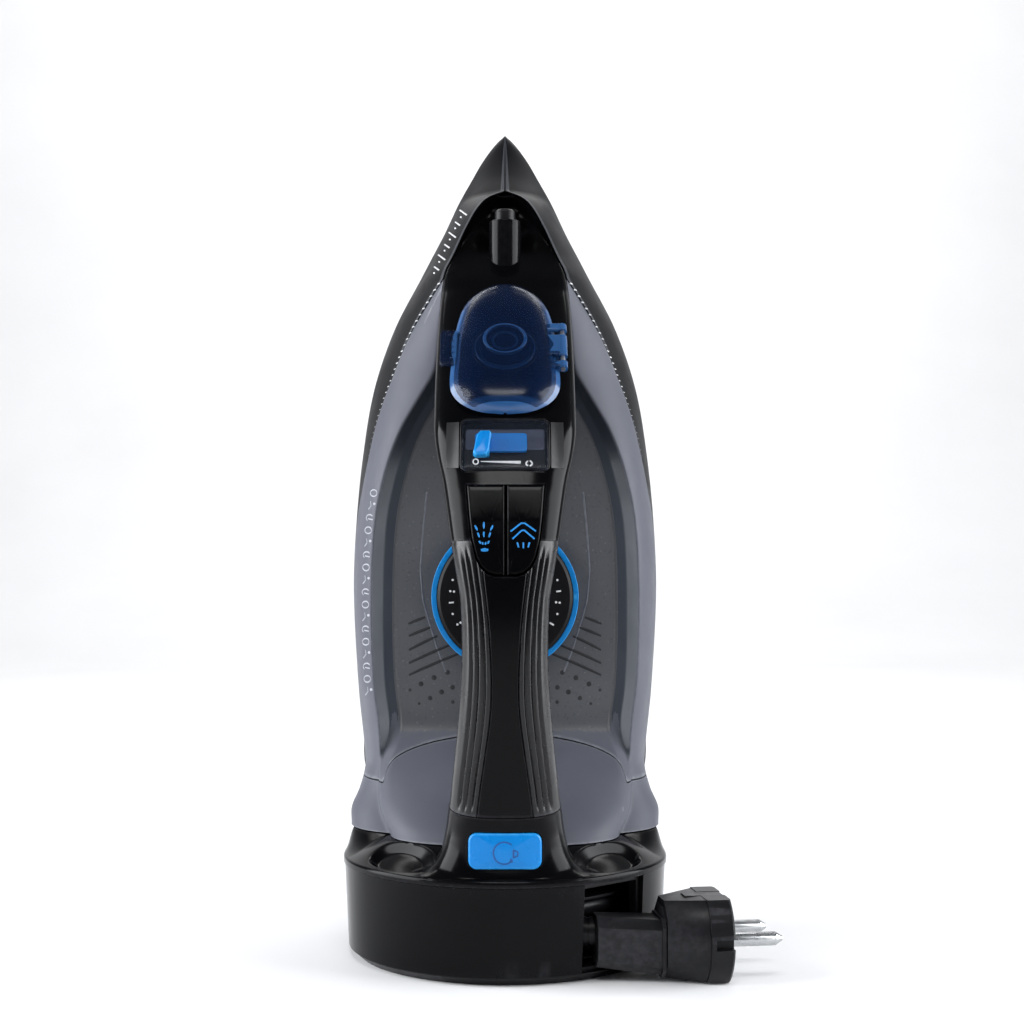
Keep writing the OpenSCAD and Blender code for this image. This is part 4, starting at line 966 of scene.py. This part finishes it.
def key_height(a, b):
    """The keys' face leans back above the thumb's place and is slightly dished below it."""
    lean = np.tan(rad(21)) * np.maximum(b - 159, 0)
    return -lean - 0.5 * np.exp(-((b - 152) / 7.0)**2 - (a / 12.0)**2)


def button_curve(a, b):
    """The rewind button's face follows the neck's curve."""
    return np.sqrt(np.maximum(53**2 - a * a, 0)) - 53


for s, name, body in ((-1, "spray_button", "spray_key"), (1, "steam_button", "steam_key")):
    key = Batch().add(pillow(shield_half(s), facing(0), 58.4, 64.7, 0.7, 0.0, 5, key_height,
                             (KEYS_X + s * 5.0, 158)))
    key.add(pillow(circle(3.4, 32, s * 7, 164), facing(0), 47, 58.6, 0.3))
    key.build(name + "_key", "black_gloss", body, "black_satin", [name], 35)
BUTTON = facing(0, BUTTON_Z)
key = Batch().add(pillow(rounded(25.0, 12.3, 3.0, 10), BUTTON, 52.6, 59.1, 0.8, 0.15, 6, button_curve))
key.add(pillow(rounded(26.2, 8.8, 1.5, 4, 0, -0.5), BUTTON, 51.1, 52.3, 0.2))
key.add(pillow(circle(3, 24), BUTTON, 50.4, 51.4, 0.2))
key.build("rewind_button_key", "blue", "rewind_key", "blue", ["rewind_button"], 35)


# ---- printed and moulded marks
def skin(*names):
    """Drops points, given as seen from the front at depth 0, on to the first of these objects."""
    trees = []
    for name in names:
        me = bpy.data.objects[name].data
        trees.append(BVHTree.FromPolygons([v.co[:] for v in me.vertices],
                                          [p.vertices[:] for p in me.polygons]))

    def at(pts, lift=0.0):
        out = []
        for x, z in np.asarray(pts, float):
            ray = np.array([x, 0.0, z]) - EYE
            ray /= np.linalg.norm(ray)
            hits = [tree.ray_cast(Vector(EYE * MM), Vector(ray))[3] for tree in trees]
            far = min([d for d in hits if d is not None], default=0.61) / MM
            out.append(EYE + ray * (far - lift))
        return np.array(out)

    return at


def seen(depth, pts):
    """Points of a plane at this depth as they are seen from the front at depth 0."""
    k = EYE[1] / (EYE[1] - depth)
    return np.asarray(pts, float) * k + (0, EYE[2] * (1 - k))


def arc(x, z, r, a0=0, a1=360, n=24):
    a = rad(np.linspace(a0, a1, n))
    return np.stack([x + r * np.cos(a), z + r * np.sin(a)], -1)


class Marks(Batch):
    """Printed lines and dots on the surface of the named objects."""

    def __init__(self, *names):
        super().__init__()
        self.at = skin(*names)

    def line(self, pts, r, closed=False, flat=0.35):
        """A low bead along the surface; r may change along it."""
        p = np.asarray(pts, float)
        if closed:
            p = np.concatenate([p, p[:1]])
        run = np.concatenate([[0], np.cumsum(np.linalg.norm(np.diff(p, axis=0), axis=1))])
        t = np.linspace(0, run[-1], max(int(run[-1] / 0.5), 3) + 1)
        q = np.stack([np.interp(t, run, p[:, 0]), np.interp(t, run, p[:, 1])], -1)
        if closed:
            q = q[:-1]
        r = np.atleast_1d(r)
        r = np.interp(np.linspace(0, 1, len(q)), np.linspace(0, 1, len(r)), r)
        return self.add(tube(self.at(q, 0.03), r, closed, 8, flat))

    def ring(self, x, z, r, bead):
        return self.line(arc(x, z, r)[:-1], bead, True)

    def dot(self, x, z, r):
        rim, top = (self.at(arc(x, z, r * f, n=17)[:-1], lift) for f, lift in ((1, 0.0), (0.8, 0.1)))
        faces = grid_faces(2, 16, 0, False, True).tolist()
        faces += [(16 + i, 16 + (i + 1) % 16, 32) for i in range(16)]
        return self.add((np.concatenate([rim, top, self.at([(x, z)], 0.12)]), faces))


spray = Marks("spray_button_key")
for x, z, dx, dz in ((-10.8, 157.4, -0.45, 1.0), (-7.95, 158.4, 0, 1.25), (-5.0, 157.4, 0.45, 1.0),
                     (-9.95, 154.8, -0.3, 0.9), (-7.95, 155.0, 0, 1.0), (-5.75, 154.8, 0.3, 0.9),
                     (-9.4, 152.0, -0.3, 0.55), (-8.4, 151.6, -0.15, 0.5), (-7.3, 151.6, 0.15, 0.5),
                     (-6.2, 152.0, 0.3, 0.55)):
    spray.line([(x - dx, z - dz), (x, z), (x + dx, z + dz)], [0.14, 0.34, 0.2])
spray.line([(-9.0, 149.1), (-7.7, 149.2), (-6.3, 149.1)], [0.35, 0.62, 0.35])
spray.build("spray_pictogram", "blue_print", "spray_key", "blue")

steam = Marks("steam_button_key")
steam.line([(2.1, 156.1), (6.1, 159.2), (7.4, 159.2), (11.6, 156.2)], 0.27)
steam.line([(2.8, 153.3), (6.3, 156.5), (7.3, 156.5), (11.1, 153.3)], 0.27)
for drop in (((4.6, 152.0), (5.1, 150.1)), ((6.9, 152.0), (6.9, 149.8)), ((9.2, 152.0), (8.7, 150.1))):
    steam.line(drop, 0.26)
steam.build("steam_pictogram", "blue_print", "steam_key", "blue")

scale = Marks("steam_window_lens")
scale.ring(-11.0, 182.3, 1.0, 0.2)
scale.line([(-9.1, 182.4), (5.9, 182.0)], [0.12, 0.55])
scale.line([(8.6, 182.6), (7.7, 181.6), (8.6, 180.7)], 0.2)
scale.line([(9.4, 182.7), (10.4, 181.6), (9.4, 180.6)], 0.22)
scale.build("steam_scale_marks", "white_print", "iron", "natural_plastic")

icon = Marks("rewind_button_key")
icon.line(arc(-0.3, 35.3, 4.1, 48, 320, 40), 0.26)
icon.line([(3.2, 36.6), (3.2, 33.4)], 0.3)
icon.line([(3.2, 36.4), (4.8, 35.8), (4.8, 34.2), (3.2, 33.6)], 0.24)
icon.line([(2.4, 33.2), (1.9, 32.3), (2.9, 32.0)], 0.22)
icon.build("rewind_icon", "deep_blue_print", "rewind_key", "blue")

FIELD_Y = 12.6  # depth of the tank's flat field
stripes, halo = Marks("water_tank_shell"), Marks("water_tank_shell")
fan = ((-37.0, 120.9, -30.6, 123.5), (-36.8, 116.3, -28.3, 119.7), (-36.8, 110.9, -26.0, 116.3),
       (-36.8, 105.9, -21.1, 112.8), (-36.8, 101.3, -18.0, 109.4))
dots = ((-32.2, 97.9, 0.95), (-27.2, 100.3, 0.95), (-22.0, 102.3, 0.9), (-36.4, 95.6, 0.6),
        (-20.1, 96.6, 0.9), (-24.3, 94.8, 0.95), (-28.7, 92.5, 0.85), (-32.9, 90.4, 0.55), (-20.0, 91.0, 0.7))
bend = np.array([(-29.9, 171.4), (-31.4, 156.9), (-32.4, 141.6), (-31.4, 130.1), (-29.5, 123.2),
                 (-26.0, 111.7), (-22.6, 102.5)])
for s in (-1, 1):
    t = np.linspace(0, 1, 12)
    for x0, z0, x1, z1 in fan:
        line = np.stack([-s * (x0 + (x1 - x0) * t), z0 + (z1 - z0) * (1.12 * t - 0.12 * t * t)], -1)
        stripes.line(seen(FIELD_Y, line), [0.38, 0.55, 0.55, 0.38])
    for x, z, r in dots:
        stripes.dot(*seen(FIELD_Y, (-s * x, z)), r)
    t = np.linspace(0, 6, 60)
    line = np.stack([np.interp(t, range(7), bend[:, 0]), np.interp(t, range(7), bend[:, 1])], -1)
    halo.line(seen(FIELD_Y, line * (-s, 1)), 0.34, flat=0.4)
stripes.build("tank_stripe_print", "dark_print", "iron", "dial_black")
halo.build("tank_halo_ridge", "tank_grey", "iron", "tank_grey")

glyphs = Marks("water_tank_shell")
for i in range(17):
    z = 170.5 - i * 4.65
    x = -(float(crest_x(z)) + 2.1) * 0.984
    if i % 3 == 0:
        glyphs.ring(x, z, 1.25, 0.27)
    elif i % 3 == 1:
        glyphs.line([(x - 1.1, z - 1.5), (x, z), (x - 0.3, z + 1.6)], 0.28)
        glyphs.dot(x + 1.0, z + 0.6, 0.5)
    else:
        glyphs.line(arc(x, z, 1.25, 30, 230), 0.27)
        glyphs.line([(x - 0.6, z - 0.3), (x + 1.1, z - 0.7)], 0.25)
glyphs.build("side_pictograms", "dim_print", "iron", "natural_plastic")

ticks = Marks("nose_skirt_shell", "water_tank_shell")
for s in (-1, 1):
    for i, z in enumerate(np.linspace(251, 186, 30)):
        fx, fy = flank(z, black_q(z))
        (x, z), size = seen(fy, (s * fx, z)) + (s * 0.2, 0), 1 - i / 34
        ticks.line([(x, z), (x + s * size, z - 0.5 * size)], 0.33 * size)
for i, x in enumerate((-15.6, -17.7, -19.7, -21.7, -23.7, -25.6)):
    z, long = 275.8 - 4.2 * i, (1.3, 0.9)[i % 2]
    ticks.line([(x - long, z + 0.75 * long), (x + long, z - 0.75 * long)], 0.36)
    ticks.dot(x - 1.0, z - 1.7, 0.34)
ticks.build("nose_tick_marks", "white_print", "iron", "natural_plastic")

dial_marks = Marks(nodes["temperature_dial"].name)
for i in range(30):
    a = rad(6 + i * 12)
    c, d = np.cos(a) * 0.988, np.sin(a) * 0.988
    if i % 3 == 0:
        dial_marks.line([(c * 19.6, 131.5 + d * 19.6), (c * 21.4, 131.5 + d * 21.4)], 0.3)
    for r in (20.9, 19.5)[:i % 3]:
        dial_marks.dot(c * r, 131.5 + d * r, 0.42)
dial_marks.build("dial_marks", "white_print", "dial", "natural_plastic")

# ---- CAD nodes: material, softened edges
EDGES = {"drum_housing": 0.5, "heel_base": 0.5, "outlet_frame": 0.25, "soleplate": 0.35, "dial_ring": 0.3,
         "spray_nozzle": 0.35, "nozzle_tip": 0.25, "temperature_dial": 0.25, "plug_body": 0.8,
         "plug_face": 0.7, "plug_pins": 0.2, "earth_clips": 0.2, "filler_collar": 0.25, "reel_spool": 0.2,
         "brake_rocker": 0.2, "terminal_block": 0.3, "contact_bridge": 0.15, "filler_seal": 0.15,
         "base_screws": 0.12}
for sub in frame["record"]["subparts"]:
    ob = nodes[sub["node"]]
    ob.data.materials.clear()
    ob.data.materials.append(mats["dark_clip" if sub["node"] == "earth_clips" else sub["material_slot"]])
    if sub["node"] in EDGES:
        if "custom_normal" in ob.data.attributes:
            ob.data.attributes.remove(ob.data.attributes["custom_normal"])
        ob.data.polygons.foreach_set("use_smooth", np.ones(len(ob.data.polygons), bool))
        weld = ob.modifiers.new("weld", "WELD")
        weld.merge_threshold = 1e-5
        bev = ob.modifiers.new("bevel", "BEVEL")
        bev.width = EDGES[sub["node"]] * MM
        bev.segments = 3
        bev.limit_method = "ANGLE"
        bev.angle_limit = math.radians(32)
        bev.use_clamp_overlap = True
        bev.harden_normals = True


# ---- floor and light
def sweep():
    """A pale floor that turns up into a backdrop far behind."""
    bend = np.linspace(0, math.pi / 2, 24)
    prof = [(-3.0, 0.0), *((1.6 + 1.2 * math.sin(a), 1.2 - 1.2 * math.cos(a)) for a in bend), (2.8, 4.0)]
    xs = np.linspace(-5, 5, 5)
    pts = np.array([[[x, y, z] for x in xs] for y, z in prof])
    me = bpy.data.meshes.new("floor")
    me.from_pydata(pts.reshape(-1, 3).tolist(), [], grid_faces(len(prof), len(xs)).tolist())
    shade(me, 60)
    s = Shader("floor")
    s.link(s.ramp(s.noise(3, 3.0), [(0.3, (0.84, 0.84, 0.85)), (0.7, (0.88, 0.88, 0.89))]), "Base Color")
    s.link(s.remap(s.noise(8, 3.0), 0.3, 0.7, 0.7, 0.85), "Roughness")
    me.materials.append(s.mat)
    return new_object("floor", me)


sweep()
scene.world = bpy.data.worlds.new("studio")
scene.world.use_nodes = True
sky = scene.world.node_tree.nodes["Background"]
sky.inputs["Color"].default_value = (0.80, 0.84, 0.90, 1)
sky.inputs["Strength"].default_value = 0.10


def area_light(name, at, look, size, power, color=(1, 1, 1)):
    data = bpy.data.lights.new(name, "AREA")
    data.shape = "RECTANGLE"
    data.size, data.size_y = size
    data.energy = power
    data.color = color
    ob = new_object(name, data)
    ob.location = at
    ob.rotation_euler = (Vector(look) - Vector(at)).to_track_quat("-Z", "Y").to_euler()


area_light("left_soft", (-1.08, -0.13, 0.36), (0, 0, 0.14), (1.0, 1.15), 29, (0.96, 0.98, 1))
area_light("right_soft", (1.08, -0.13, 0.36), (0, 0, 0.14), (1.0, 1.15), 25, (0.96, 0.98, 1))
area_light("front_high", (0.0, -0.86, 1.18), (0, 0, 0.12), (0.7, 0.26), 5)
area_light("rear_top", (0.0, 0.9, 1.15), (0, 0, 0.2), (1.2, 0.4), 4)
area_light("back_wash", (0.0, 1.3, 1.9), (0.0, 2.8, 0.4), (3.0, 0.8), 42)
scene.view_settings.view_transform = "Standard"
scene.view_settings.look = "None"
